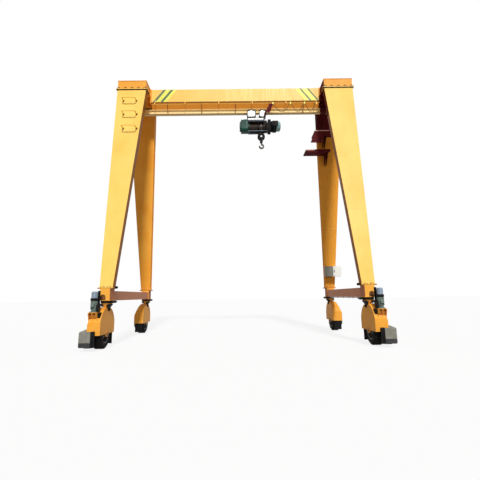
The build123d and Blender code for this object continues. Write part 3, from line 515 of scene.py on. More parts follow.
    # wire rope: drawn steel strands dark with grease
    ROPE = Coat(
        "wire_rope_greased", "rope_steel", "#3A3129", "#483E33", "#1F1915",
        "#7A7266", 0.6, metallic=0.2, patch_mm=40, grain_mm=3, depth_mm=0.3, shine=0.3,
    )  # fmt: skip
    # drop-forged steel, scaled dark
    FORGED = Coat(
        "forged_steel_scaled", "hook_steel", "#2A2826", "#3A3531", "#4E4234",
        "#7A746A", 0.52, metallic=0.6, patch_mm=70, grain_mm=9, depth_mm=0.5, wear=0.05,
    )  # fmt: skip
    # marking paint, green
    GREEN = Coat(
        "marking_paint_green_brushed", "crane_paint", "#4A6234", "#5A7440", "#7A6A3C",
        "#F2A63A", 0.5, patch_mm=240, grain_mm=6, depth_mm=0.15, wear=0.02,
    )  # fmt: skip
    # marking paint, yellow with a green cast
    LIME = Coat(
        "marking_paint_yellow_brushed", "crane_paint", "#F2F257", "#EAE64E", "#B8A83C",
        "#F2A63A", 0.45, patch_mm=300, grain_mm=6, depth_mm=0.15, wear=0.015,
    )  # fmt: skip
    # rust brown: rust stains at joints, and painted shade along the girder's edges, on rib edges and in
    # the hand holes
    UMBER = Coat(
        "rust_stain_and_painted_shade", "crane_paint", "#8A5A2A", "#74471F", "#4A2E18",
        "#5A3A28", 0.6, patch_mm=120, grain_mm=5, depth_mm=0.3, streaks=0.4, wear=0.04,
        shine=0.3,
    )  # fmt: skip
    # dull red-brown enamel on the columns' inner sides, as painted shade
    RUSSET = Coat(
        "russet_enamel_painted_shade", "crane_paint", "#CC8052", "#B86E44", "#6A442C",
        "#5A3A28", 0.55, patch_mm=500, grain_mm=6, depth_mm=0.2, streaks=0.2, wear=0.01,
        shine=0.2,
    )  # fmt: skip
    # dark ochre enamel as painted shade on the legs' inner sides and in the pockets under the motor
    # shelves
    OCHRE = Coat(
        "ochre_enamel_painted_shade", "crane_paint", "#A8682A", "#94591F", "#5A3A1C",
        "#5A3A28", 0.55, patch_mm=700, grain_mm=6, depth_mm=0.2, streaks=0.3, wear=0.01,
        shine=0.2,
    )  # fmt: skip
    # zinc plated screws gone dull brown
    SCREW = Coat(
        "zinc_plated_screws_dull", "galvanised", "#6E6253", "#5A4E42", "#3A3028",
        "#8A7A66", 0.5, metallic=0.6, patch_mm=40, grain_mm=4, depth_mm=0.1,
    )  # fmt: skip


class Shape:
    """One mesh in the making, from bmesh operators."""

    def __init__(self) -> None:
        """Start an empty mesh."""
        self.bm = bmesh.new()

    def _soften(self, verts: Sequence[bmesh.types.BMVert], edge: float, flat_ends: bool) -> None:
        """Bevel the edges of a form just made.

        Args:
            verts: the form's vertices.
            edge: bevel width.
            flat_ends: whether only the rims of faces with many sides are bevelled.
        """
        if edge <= 0:
            return
        edges = {e for v in verts for e in v.link_edges}
        if flat_ends:
            edges = {e for e in edges if any(len(f.verts) > 4 for f in e.link_faces)}
        bmesh.ops.bevel(
            self.bm, geom=list(edges), offset=edge, offset_type="OFFSET",
            segments=1 if edge < WIDE_BEVEL else 2, profile=0.5, affect="EDGES", material=-1,
            clamp_overlap=True,
        )  # fmt: skip

    def _spin(
        self, geom: list[Any], middle: Vector, along: Along, steps: int, turns: int = 1,
        pitch: float = 0.0,
    ) -> None:
        """Sweep edges about an axis.

        Args:
            geom: their vertices and the edges.
            middle: a point on the axis.
            along: the axis.
            steps: steps of one turn.
            turns: number of turns.
            pitch: advance of one turn; at 0 the end of the sweep merges with its start.
        """
        bmesh.ops.spin(
            self.bm, geom=geom, cent=middle, axis=along.vector(),
            dvec=along.vector() * (pitch / steps), angle=2 * math.pi * turns,
            steps=steps * turns, use_merge=not pitch, use_normal_flip=False, use_duplicate=False,
        )  # fmt: skip

    def block(
        self, middle: Sequence[float], size: Point, edge: float = 0.003, turn: Matrix | None = None
    ) -> None:
        """Add a block with softened edges.

        Args:
            middle: its middle.
            size: its size along each axis.
            edge: bevel width.
            turn: rotation about its middle.
        """
        matrix = (
            Matrix.Translation(Vector(middle))
            @ (turn or Matrix.Identity(4))
            @ Matrix.Diagonal((*size, 1.0))
        )
        made = bmesh.ops.create_cube(self.bm, size=1.0, matrix=matrix)
        self._soften(made["verts"], edge, False)

    def disc(
        self,
        middle: Sequence[float],
        along: Along,
        radius: float,
        length: float,
        sides: int = 24,
        edge: float = 0.002,
        tip: float | None = None,
        turn: Matrix | None = None,
    ) -> None:
        """Add a round or many-sided boss with softened rims.

        Args:
            middle: its middle.
            along: its axis.
            radius: radius at its start.
            length: length along its axis.
            sides: number of sides.
            edge: bevel width.
            tip: radius at its end, where that differs.
            turn: further rotation about its middle.
        """
        matrix = Matrix.Translation(Vector(middle)) @ (turn or Matrix.Identity(4)) @ along.turn()
        made = bmesh.ops.create_cone(
            self.bm, cap_ends=True, cap_tris=False, segments=sides, radius1=radius,
            radius2=radius if tip is None else tip, depth=length, matrix=matrix,
        )  # fmt: skip
        self._soften(made["verts"], edge, True)

    def bolt(
        self, middle: Sequence[float], along: Along, across: float = 0.03, out: float = 1.0
    ) -> None:
        """Add a hexagon head on its washer.

        Args:
            middle: where it sits on the surface.
            along: axis that it stands along.
            across: width over the flats.
            out: 1 where the head is on the axis's positive side, -1 on the other.
        """
        up = along.vector() * out
        head = across * 0.55
        washer = across * 0.14
        self.disc(Vector(middle) + up * washer / 2, along, across * 0.72, washer, 14, 0.0)
        self.disc(
            Vector(middle) + up * (washer + head / 2), along, across / math.sqrt(3), head, 6,
            across * 0.05,
        )  # fmt: skip

    def plate(
        self, outline: Sequence[Pair], along: Along, at: float, thick: float, edge: float = 0.002
    ) -> None:
        """Add a flat plate from its outline.

        Args:
            outline: corners in the plane across the axis.
            along: the plate's normal.
            at: place of its first face along that axis.
            thick: thickness along the axis.
            edge: bevel width.
        """
        verts = [self.bm.verts.new(along.lift(a, b, at)) for a, b in outline]
        face = self.bm.faces.new(verts)
        grown = bmesh.ops.extrude_face_region(self.bm, geom=[face])["geom"]
        top = [g for g in grown if isinstance(g, bmesh.types.BMVert)]
        bmesh.ops.translate(self.bm, vec=along.vector() * thick, verts=top)
        self._soften(verts + top, edge, False)

    def lathe(
        self,
        outline: Sequence[Pair],
        middle: Sequence[float],
        along: Along,
        steps: int = 40,
        closed: bool = False,
    ) -> None:
        """Turn an outline about an axis.

        Args:
            outline: places along the axis and radii; it starts and ends on the axis
                unless it is closed.
            middle: origin of the outline on the axis.
            along: the axis.
            steps: steps round it.
            closed: whether the outline's ends join.
        """
        origin = Vector(middle)
        side = along.turn() @ Vector((1.0, 0.0, 0.0))
        verts = [
            self.bm.verts.new(origin + along.vector() * at + side * radius)
            for at, radius in outline
        ]
        pairs = list(zip(verts[:-1], verts[1:])) + ([(verts[-1], verts[0])] if closed else [])
        edges = [self.bm.edges.new(pair) for pair in pairs]
        old = set(self.bm.verts) - set(verts)
        self._spin(verts + edges, origin, along, steps)
        bmesh.ops.remove_doubles(
            self.bm, verts=[v for v in self.bm.verts if v not in old], dist=1e-5
        )

    def ring(
        self, middle: Sequence[float], along: Along, ends: Pair, radii: Pair, steps: int
    ) -> None:
        """Add a ring or tube of rectangular section.

        Args:
            middle: origin of its ends on the axis.
            along: its axis.
            ends: where it starts and ends along the axis.
            radii: its inner and outer radius.
            steps: steps round it.
        """
        (a, b), (inner, outer) = ends, radii
        outline = [(a, inner), (b, inner), (b, outer), (a, outer)]
        self.lathe(outline, middle, along, steps, True)

    def coil(
        self, start: Sequence[float], along: Along, radius: float, wire: float, pitch: float,
        turns: int,
    ) -> None:  # fmt: skip
        """Wind a round wire about an axis.

        Args:
            start: where the winding starts, on the axis.
            along: the axis.
            radius: radius to the wire's middle.
            wire: the wire's own radius.
            pitch: advance of one turn.
            turns: number of turns.
        """
        steps = 36
        side = along.turn() @ Vector((1.0, 0.0, 0.0))
        across = side.cross(along.vector())
        axes = Matrix((along.vector(), side, across)).transposed().to_4x4()
        place = Matrix.Translation(Vector(start) + side * radius) @ axes
        ring = bmesh.ops.create_circle(
            self.bm, cap_ends=False, segments=8, radius=wire, matrix=place
        )["verts"]
        edges = list({e for v in ring for e in v.link_edges})
        self._spin(list(ring) + edges, Vector(start), along, steps, turns, pitch)

    def wire(
        self, points: Sequence[Sequence[float]], radius: float, smooth: bool = True, sides: int = 3
    ) -> None:
        """Add a round wire or tube along a line.

        Args:
            points: control points of the line.
            radius: the wire's radius.
            smooth: whether the line is a smooth spline or straight runs.
            sides: fineness of its section.
        """
        data = bpy.data.curves.new("line", "CURVE")
        data.dimensions = "3D"
        data.resolution_u = 10
        data.bevel_depth = radius
        data.bevel_resolution = sides
        data.use_fill_caps = True
        spline = data.splines.new("NURBS" if smooth else "POLY")
        spline.points.add(len(points) - 1)
        for spot, at in zip(spline.points, points):
            spot.co = (*at, 1.0)
        if smooth:
            spline.order_u = 3
            spline.use_endpoint_u = True
        holder = link("line", data)
        graph = bpy.context.evaluated_depsgraph_get()
        mesh = bpy.data.meshes.new_from_object(holder.evaluated_get(graph))
        self.bm.from_mesh(mesh)
        bpy.data.objects.remove(holder)
        bpy.data.curves.remove(data)
        bpy.data.meshes.remove(mesh)

    def make(
        self,
        name: str,
        finish: Finish,
        body: str | None,
        place: Matrix | None = None,
        stands_for: Sequence[str] = (),
        crease: float = 34.0,
    ) -> bpy.types.Object:
        """Turn the mesh into a piece of the scene.

        Args:
            name: the piece's name.
            finish: its finish.
            body: the body that it rides on, or None where it is blended later.
            place: matrix that takes it to its place.
            stands_for: the CAD nodes that it replaces.
            crease: angle in degrees above which an edge stays sharp.

        Returns:
            The piece.
        """
        if place is not None:
            bmesh.ops.transform(self.bm, matrix=place, verts=self.bm.verts)
        bmesh.ops.recalc_face_normals(self.bm, faces=self.bm.faces)
        mesh = bpy.data.meshes.new(name)
        self.bm.to_mesh(mesh)
        self.bm.free()
        mesh.polygons.foreach_set("use_smooth", [True] * len(mesh.polygons))
        mesh.set_sharp_from_angle(angle=math.radians(crease))
        mesh.materials.append(finish.value.material())
        piece = link(name, mesh)
        if stands_for:
            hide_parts(*stands_for)
        if body is not None:
            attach(piece, body)
        return piece


@dataclass(frozen=True)
class Corner:
    """One corner of the machine.

    Attributes:
        sx: side along X, -1 for left.
        sy: side along Y, -1 for front.
        place: its name.
    """

    sx: int
    sy: int
    place: str

    @property
    def driven(self) -> bool:
        """Whether its wheel is driven."""
        return self.sy < 0


CORNERS = (
    Corner(-1, -1, "front_left"),
    Corner(1, -1, "front_right"),
    Corner(-1, 1, "rear_left"),
    Corner(1, 1, "rear_right"),
)


@dataclass
class Portal:
    """Legs, head beams, sills and girder: the standing frame's fine parts."""

    half_span: float = 4.5
    half_base: float = 2.4
    leg_z0: float = 2.045
    leg_z1: float = 10.611
    leg_w0: float = 0.45
    leg_w1: float = 1.238
    leg_d: float = 0.266
    leg_top_y: float = 0.778
    saddle_z0: float = 10.636
    girder_half_w: float = 0.25
    girder_z0: float = 10.415
    girder_top: float = 11.035
    rib_gap: float = 1.55
    rib_tip_y: float = 0.112
    rib_low_z: float = 10.083
    web_z0: float = 9.939
    stiff_y: float = 0.038
    head_lip: float = 0.040
    top_flange_t: float = 0.025
    col_top_z: float = 2.010
    col_half_w: float = 0.171
    col_half_l: float = 0.209
    ring_z1: float = 1.592
    foot_t: float = 0.016
    film: float = 0.0012
    bolt: float = 0.036

    def leg_mid_y(self, z: float) -> float:
        """Distance of a leg's middle line from the machine's middle, at a height."""
        share = (z - self.leg_z0) / (self.leg_z1 - self.leg_z0)
        return self.half_base + (self.leg_top_y - self.half_base) * share

    def leg_half_w(self, z: float) -> float:
        """Half a leg's width at a height."""
        share = (z - self.leg_z0) / (self.leg_z1 - self.leg_z0)
        return (self.leg_w0 + (self.leg_w1 - self.leg_w0) * share) / 2

    def stripes(self) -> None:
        """Slanting hazard bars near both ends of the girder, on both faces."""
        low, high = self.girder_z0 + 0.012, self.girder_top - 0.012
        mid = (low + high) / 2
        # lean, place at mid height, width, finish
        bars = (
            (0.77, -3.458, 0.13, Finish.GREEN), (0.77, -3.29, 0.206, Finish.LIME),
            (0.77, -3.122, 0.13, Finish.GREEN), (0.77, -2.99, 0.16, Finish.LIME),
            (-0.75, 3.05, 0.20, Finish.LIME), (-0.75, 3.20, 0.08, Finish.GREEN),
            (-0.75, 3.37, 0.25, Finish.LIME), (-0.75, 3.54, 0.08, Finish.GREEN),
        )  # fmt: skip
        for finish in (Finish.GREEN, Finish.LIME):
            shape = Shape()
            for lean, x, width, used in bars:
                if used is not finish:
                    continue
                outline = [
                    (x + side * width / 2 + lean * (z - mid), z)
                    for side, z in ((-1, low), (1, low), (1, high), (-1, high))
                ]
                for y in (-self.girder_half_w - self.film, self.girder_half_w):
                    shape.plate(outline, Along.Y, y, self.film, 0.0)
            shape.make(f"girder_bars_{finish.name.lower()}", finish, "frame")

    def girder_clips(self) -> None:
        """Small lugs where each rib meets the girder's lower edges."""
        shape = Shape()
        for i in RIB_SPOTS:
            for side in (-1, 1):
                shape.block(
                    (i * self.rib_gap, side * (self.girder_half_w + 0.01), self.girder_z0 + 0.03),
                    (0.05, 0.02, 0.07),
                )
        shape.make("girder_clips", Finish.GANTRY, "frame")

    def rib_shade_lines(self) -> None:
        """Dark strips along the edges of the ribs and of the web's stiffeners, as painted shade."""
        shape = Shape()
        lean = (self.girder_half_w - self.rib_tip_y) / (self.girder_z0 - self.rib_low_z)
        run_z = self.girder_z0 - self.rib_low_z - 0.045
        run_y = run_z * lean
        for i in RIB_SPOTS:
            x = i * self.rib_gap
            for side in (-1, 1):
                shape.block(
                    (x, side * (self.rib_tip_y + run_y / 2), self.rib_low_z + run_z / 2),
                    (0.030, 0.008, math.hypot(run_y, run_z)), 0.002,
                    Matrix.Rotation(-side * math.atan2(run_y, run_z), 4, "X"),
                )  # fmt: skip
                shape.block(
                    (x, side * self.stiff_y, (self.web_z0 + self.rib_low_z) / 2),
                    (0.030, 0.006, self.rib_low_z - self.web_z0), 0.002,
                )  # fmt: skip
        shape.make("rib_shade_lines", Finish.UMBER, "frame")

    def head_joints(self) -> None:
        """Bolts and gussets between the legs and the head beams."""
        bolts, gussets = Shape(), Shape()
        flange_top = self.saddle_z0 + self.top_flange_t
        for c in CORNERS:
            x0 = c.sx * self.half_span
            face = c.sy * self.leg_top_y + c.sy * (self.leg_d / 2 + self.head_lip / 2)
            root = face - c.sy * 0.04
            for off in (-0.575, -0.288, 0.0, 0.288, 0.575):
                x = x0 + off
                for near in (-0.055, 0.055):
                    bolts.bolt((x + near, face, flange_top), Along.Z, self.bolt)
                    bolts.bolt((x + near, face, self.leg_z1), Along.Z, self.bolt, -1.0)
                for base, tall in ((flange_top, 0.115), (self.leg_z1, -0.075)):
                    outline = [(root, base), (face + c.sy * 0.017, base), (root, base + tall)]
                    gussets.plate(outline, Along.X, x - 0.018, 0.036, 0.0)
        bolts.make("head_joint_bolts", Finish.BLACK, "frame")
        gussets.make("head_joint_gussets", Finish.BLACK, "frame")
        self.band(
            "head_joint_packing", Finish.BLACK, self.leg_top_y,
            (self.leg_w1 / 2 + self.head_lip, self.leg_d / 2 + self.head_lip),
            (self.leg_z1 - 0.027, self.leg_z1 + 0.027),
        )  # fmt: skip

    def band(
        self, name: str, finish: Finish, mid_y: float, half: Pair, heights: Pair
    ) -> None:
        """Lay a strip round a bolted joint of every leg.

        Args:
            name: name of the piece.
            finish: its finish.
            mid_y: distance of the joint's middle from the machine's middle.
            half: half of the joint's size along X and along Y.
            heights: lower and upper edge of the strip.
        """
        shape, proud = Shape(), 0.003
        z, tall = sum(heights) / 2, heights[1] - heights[0]
        for c in CORNERS:
            x, y = c.sx * self.half_span, c.sy * mid_y
            for side in (-1, 1):
                shape.block(
                    (x, y + side * half[1], z), (2 * half[0] + 2 * proud, 2 * proud, tall), 0.001
                )
                shape.block(
                    (x + side * half[0], y, z), (2 * proud, 2 * half[1] - 2 * proud, tall), 0.001
                )
        shape.make(name, finish, "frame")

    def foot_joints(self) -> None:
        """Bolts and gussets between the legs and the columns."""
        bolts, gussets = Shape(), Shape()
        for c in CORNERS:
            x0, y0 = c.sx * self.half_span, c.sy * self.half_base
            for side in (-1, 1):
                row = y0 + side * (self.leg_d / 2 + 0.036)
                for x in (-0.16, -0.055, 0.055, 0.16):
                    bolts.bolt((x0 + x, row, self.leg_z0), Along.Z, self.bolt)
                    bolts.bolt((x0 + x, row, self.leg_z0 - 0.051), Along.Z, self.bolt, -1.0)
                root = y0 + side * self.leg_d / 2
                outline = [
                    (root - side * 0.01, self.leg_z0), (root + side * 0.06, self.leg_z0),
                    (root - 0.03 * c.sy, self.leg_z0 + 0.13),
                ]  # fmt: skip
                for x in (-0.108, 0.108):
                    gussets.plate(outline, Along.X, x0 + x - 0.006, 0.012, 0.0)
        bolts.make("foot_joint_bolts", Finish.SCREW, "frame")
        gussets.make("foot_joint_gussets", Finish.GANTRY, "frame")
        self.band(
            "foot_joint_packing", Finish.UMBER, self.half_base,
            (self.leg_w0 / 2 + 0.035, self.leg_d / 2 + 0.065),
            (self.col_top_z - 0.010, self.col_top_z + 0.014),
        )  # fmt: skip

    def rail(self) -> None:
        """Slender rail of the hanging cable on its brackets."""
        shape = Shape()
        y, z, half = -0.372, 10.227, 3.791
        shape.disc((0.0, y, z), Along.X, 0.009, 2 * half, 16, 0.0)
        for share in (-0.96, -0.6, -0.2, 0.2, 0.6, 0.96):
            x = share * half
            shape.plate(
                [
                    (-self.girder_half_w, self.girder_z0 + 0.09),
                    (-self.girder_half_w - 0.008, self.girder_z0 + 0.09),
                    (-self.girder_half_w - 0.008, self.girder_z0 + 0.02),
                    (y - 0.006, z + 0.06), (y - 0.006, z - 0.006), (y + 0.006, z - 0.006),
                    (y + 0.006, z + 0.054), (-self.girder_half_w, self.girder_z0 + 0.004),
                ],
                Along.X, x - 0.015, 0.030, 0.0015,
            )  # fmt: skip
        shape.make("cable_rail", Finish.GANTRY, "frame", stands_for=("festoon_rail",))

    def foot_flange_shade(self) -> None:
        """Black arms with round ends at the inner side of the front legs' feet, painted shade for the
        dark undersides of the foot flanges.
        """
        shape = Shape()
        for c in CORNERS:
            if not c.driven:
                continue
            x0, y0 = c.sx * (self.half_span - self.leg_w0 / 2 - 0.035), c.sy * self.half_base
            arm = Matrix.Rotation(c.sx * math.radians(24), 4, "Y")
            shape.block((x0 - c.sx * 0.01, y0, self.col_top_z + 0.010), (0.14, 0.05, 0.03), 0.003, arm)
            shape.disc((x0 - c.sx * 0.055, y0 - 0.03, self.col_top_z + 0.030), Along.Y, 0.042, 0.13,
                       24, 0.008)  # fmt: skip
        shape.make("foot_flange_shade", Finish.BLACK, "frame")

    def hole_shade_plates(self) -> None:
        """Dark brown plates set back in the arched hand holes of the columns, painted shade in the
        holes.
        """
        shape = Shape()
        for c in CORNERS:
            x = c.sx * (self.half_span + 0.062)
            y = c.sy * (self.half_base + self.col_half_l - 0.035)
            floor = self.ring_z1 + self.foot_t
            shape.disc((x, y, floor + 0.095), Along.Y, 0.094, 0.012, 32, 0.002)
            shape.block((x, y, floor + 0.048), (0.187, 0.010, 0.094), 0.0)
        shape.make("hole_shade_plates", Finish.UMBER, "frame")

    def decks(self) -> None:
        """Front fascias, nosings painted pale as a highlight on their lit edges, and panel screws of
        the decks at the right rear leg.
        """
        upper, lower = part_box("platform_upper"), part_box("platform_lower")
        fascia, nosing, screws = Shape(), Shape(), Shape()
        # front edge of the deck, its two ends, its top, depth of the fascia, end of the nosing
        for front, x0, x1, top, deep, shine in (
            (upper[0].y, 3.653, 4.325, upper[1].z, 0.235, 4.325),
            (lower[0].y, 3.250, 4.390, lower[1].z, 0.085, 3.66),
        ):
            fascia.block(((x0 + x1) / 2, front + 0.013, top - 0.046 - deep / 2),
                         (x1 - x0, 0.008, deep), 0.002)  # fmt: skip
            nosing.block(((x0 + shine) / 2, front - 0.002, top - 0.022), (shine - x0, 0.012, 0.044),
                         0.003)  # fmt: skip
        fascia.make("deck_fascias", Finish.OXIDE, "frame")
        nosing.make("deck_nosing_highlights", Finish.NOSE, "frame")
        tilt = math.atan2(self.half_base - self.leg_top_y, self.saddle_z0 - self.leg_z0)
        for i in range(8):
            z = 9.35 + i * 0.165
            y = self.leg_mid_y(z) - self.leg_d / 2 - 0.013
            for x in (self.half_span - self.leg_half_w(z) + 0.04, self.half_span - 0.235):
                screws.disc((x, y, z), Along.Y, 0.014, 0.012, 6, 0.002,
                            turn=Matrix.Rotation(tilt, 4, "X"))  # fmt: skip
        screws.make("panel_screws", Finish.SCREW, "frame")

    def leg_sides(self) -> None:
        """Films of darker coats on the inner sides of front legs, right head beam and columns, as
        painted shade; at the right head their dark red is primer and painted shade together.
        """
        lean = (self.leg_w1 - self.leg_w0) / 2 / (self.leg_z1 - self.leg_z0)
        half = self.leg_d / 2 - 0.003
        low, mid, high = self.leg_z0 + 0.01, 9.22, self.leg_z1 - 0.026
        for name, finish, sx, z0, z1 in (
            ("leg_side_shade_left", Finish.OCHRE, -1, low, high),
            ("leg_side_shade_right", Finish.OCHRE, 1, low, mid),
            ("leg_head_primer_shade", Finish.OXIDE, 1, mid, high),
        ):
            shape = Shape()
            a, b = -self.leg_mid_y(z0), -self.leg_mid_y(z1)
            shape.plate(
                [(a - half, z0), (a + half, z0), (b + half, z1), (b - half, z1)],
                Along.X, -self.film if sx > 0 else 0.0, self.film, 0.0,
            )  # fmt: skip
            slant = Matrix.Identity(4)
            slant[0][2] = -sx * lean
            slant[0][3] = sx * (self.half_span - self.leg_w0 / 2 + lean * self.leg_z0)
            shape.make(name, finish, "frame", slant)
        inner = self.half_span - self.leg_w1 / 2 + 0.005
        primer = Shape()
        primer.block((inner - 0.001, 0.0, 10.842), (2 * self.film, 1.80, 0.350), 0.0)
        primer.make("saddle_side_primer_shade", Finish.OXIDE, "frame")
        sides = Shape()
        floor, top = self.ring_z1 + self.foot_t, 1.985
        for c in CORNERS:
            x = c.sx * (self.half_span - self.col_half_w - self.film / 2)
            size = (self.film, 2 * self.col_half_l - 0.008, top - floor)
            sides.block((x, c.sy * self.half_base, (floor + top) / 2), size, 0.0)
        sides.make("column_side_shade", Finish.RUSSET, "frame")

    def edge_shade_lines(self) -> None:
        """Dark lines along the girder's lower edges and the edges of the track flange, as painted
        shade.
        """
        shape = Shape()
        for side in (-1, 1):
            shape.block(
                (0.0, side * (self.girder_half_w + 0.0005), self.girder_z0 - 0.008),
                (7.70, 0.004, 0.032), 0.0,
            )  # fmt: skip
            shape.block((-0.14, side * 0.0738, 9.928), (8.04, 0.0018, 0.024), 0.0)
        shape.make("edge_shade_lines", Finish.UMBER, "frame")

    def seams(self) -> None:
        """Weld beads round the legs where their plates join."""
        shape = Shape()
        for c in CORNERS:
            for z in (4.86, 7.74):
                half = self.leg_half_w(z)
                mid = c.sy * self.leg_mid_y(z)
                for side in (-1, 1):
                    y = mid + side * (self.leg_d / 2 - 0.001)
                    shape.disc(
                        (c.sx * self.half_span, y, z), Along.X, 0.006, 2 * half - 0.01, 8, 0.0
                    )
        shape.make("leg_seams", Finish.GANTRY, "frame")

    def step_feet(self) -> None:
        """Dark pads under the ends of the climbing steps."""
        shape = Shape()
        for z, off in ((10.0, -0.014), (9.3, 0.06), (8.575, 0.128)):
            face = -self.leg_mid_y(z) - self.leg_d / 2
            tilt = math.atan2(self.half_base - self.leg_top_y, self.leg_z1 - self.leg_z0)
            for side in (-1, 1):
                shape.block(
                    (-self.half_span + off + side * 0.275, face - 0.006, z - 0.012),
                    (0.075, 0.016, 0.085),
                    0.003,
                    Matrix.Rotation(-tilt, 4, "X"),
                )
        shape.make("step_feet", Finish.BLACK, "frame")

    def build(self) -> None:
        """Make every fine part of the standing frame."""
        for step in (
            self.stripes, self.girder_clips, self.rib_shade_lines, self.head_joints, self.foot_joints,
            self.rail, self.foot_flange_shade, self.hole_shade_plates, self.decks, self.leg_sides,
            self.edge_shade_lines, self.seams, self.step_feet,
        ):  # fmt: skip
            step()
            LOG.info("portal: %s", step.__name__)


@dataclass
class FinnedMotor:
    """An electric motor with ribs, end shields, cowl and terminal box.

    Attributes:
        name: start of its pieces' names.
        node: the CAD node that it stands for.
        body: the body that it rides on.
        base: middle of its mounting face.
        along: its axis, from the mounting face to the cowl.
        radius: radius over the ribs.
        stops: places along the axis where the flange, ribs, brake band and cowl end.
        box_way: direction in which its terminal box stands out.
        fins: number of ribs.
        body_coat: finish of the ribbed housing.
        cowl_coat: finish of the cowl.
        box_coat: finish of the terminal box.
        box_at: place of the terminal box along the axis, 0 for the middle of the ribs.
    """

    name: str
    node: str
    body: str
    base: Point
    along: Along
    radius: float
    stops: tuple[float, float, float, float]
    box_way: Vector
    fins: int = 26
    body_coat: Finish = Finish.MOTOR
    cowl_coat: Finish = Finish.COWL
    box_coat: Finish = Finish.MOTOR
    box_at: float = 0.0

    def build(self) -> None:
        """Make the motor's pieces."""
        flange, ribs, band, cowl = self.stops
        r = self.radius
        up = self.along.vector()
        base = Vector(self.base)
        housing = Shape()
        housing.lathe(
            [
                (0.0, 0.0), (0.0, r * 1.16), (flange * 0.30, r * 1.16), (flange * 0.42, r * 0.80),
                (flange * 0.8, r * 0.80), (flange, r * 0.92), (ribs, r * 0.92), (ribs, 0.0),
            ],
            base, self.along,
        )  # fmt: skip
        length = ribs - flange - 0.02
        middle = base + up * (flange + ribs) / 2
        fin = (r * 0.14, r * 0.05, length)
        for turn, out in self.spokes(self.fins):
            housing.block(middle + out * r * 0.95, fin, 0.0, turn @ self.along.turn())
        for _, out in self.spokes(6):
            housing.bolt(base + out * r * 1.04 + up * flange * 0.3, self.along, r * 0.16)
        housing.make(f"{self.name}_housing", self.body_coat, self.body, stands_for=(self.node,))
        dark = Shape()
        dark.lathe(
            [(ribs, 0.0), (ribs, r * 1.06), (ribs + 0.012, r * 1.12), (band - 0.012, r * 1.12),
             (band, r * 1.04), (band, 0.0)],
            base, self.along,
        )  # fmt: skip
        dark.make(f"{self.name}_end_shield", Finish.BLACK, self.body)
        hood = Shape()
        deep = cowl - band
        hood.lathe(
            [
                (band, 0.0), (band, r * 0.93), (band + deep * 0.72, r * 0.93),
                (band + deep * 0.88, r * 0.84), (cowl - 0.006, r * 0.66), (cowl - 0.006, r * 0.6),
                (cowl - 0.012, r * 0.58), (cowl - 0.012, 0.0),
            ],
            base, self.along,
        )  # fmt: skip
        for i in range(1, 4):
            ring = r * 0.58 * i / 4
            radii = (ring - r * 0.03, ring + r * 0.03)
            hood.ring(base, self.along, (cowl - 0.013, cowl - 0.004), radii, 32)
        hood.make(f"{self.name}_cowl", self.cowl_coat, self.body)
        self.terminal_box(base + up * (self.box_at or (flange + ribs) / 2))

    def spokes(self, count: int) -> list[tuple[Matrix, Vector]]:
        """Turns spread evenly about the motor's axis.

        Args:
            count: number of turns.

        Returns:
            Each turn, with the direction straight out from the axis there.
        """
        up, start = self.along.vector(), self.along.turn() @ Vector((1.0, 0.0, 0.0))
        turns = [Matrix.Rotation(2 * math.pi * (i + 0.5) / count, 4, up) for i in range(count)]
        return [(turn, turn @ start) for turn in turns]

    def terminal_box(self, middle: Vector) -> None:
        """Add the box where the cable enters.

        Args:
            middle: the point on the axis beside it.
        """
        up, way = self.along.vector(), self.box_way
        across = up.cross(way)
        axes = Matrix((across, up, way)).transposed().to_4x4()
        r = self.radius
        box = Shape()
        box.block(middle + way * r * 1.14, (r * 0.9, r * 1.05, r * 0.36), 0.004, axes)
        box.block(middle + way * r * 1.36, (r * 0.98, r * 1.13, r * 0.10), 0.003, axes)
        facing = way.to_track_quat("Z", "Y").to_matrix().to_4x4()
        for a in (-1, 1):
            for b in (-1, 1):
                spot = middle + way * r * 1.41 + across * a * r * 0.40 + up * b * r * 0.47
                box.disc(spot, Along.Z, r * 0.05, r * 0.06, 10, 0.0, turn=facing)
        box.make(f"{self.name}_terminal_box", self.box_coat, self.body)
        gland = Shape()
        root = middle + way * r * 1.18 - up * r * 0.5
        turn = (-up).to_track_quat("Z", "Y").to_matrix().to_4x4()
        for off, share, tall, sides in ((0.012, 0.15, 0.03, 6), (0.034, 0.11, 0.02, 16)):
            gland.disc(root - up * off, Along.Z, r * share, tall, sides, 0.001, turn=turn)
        gland.make(f"{self.name}_gland", Finish.BLACK, self.body)


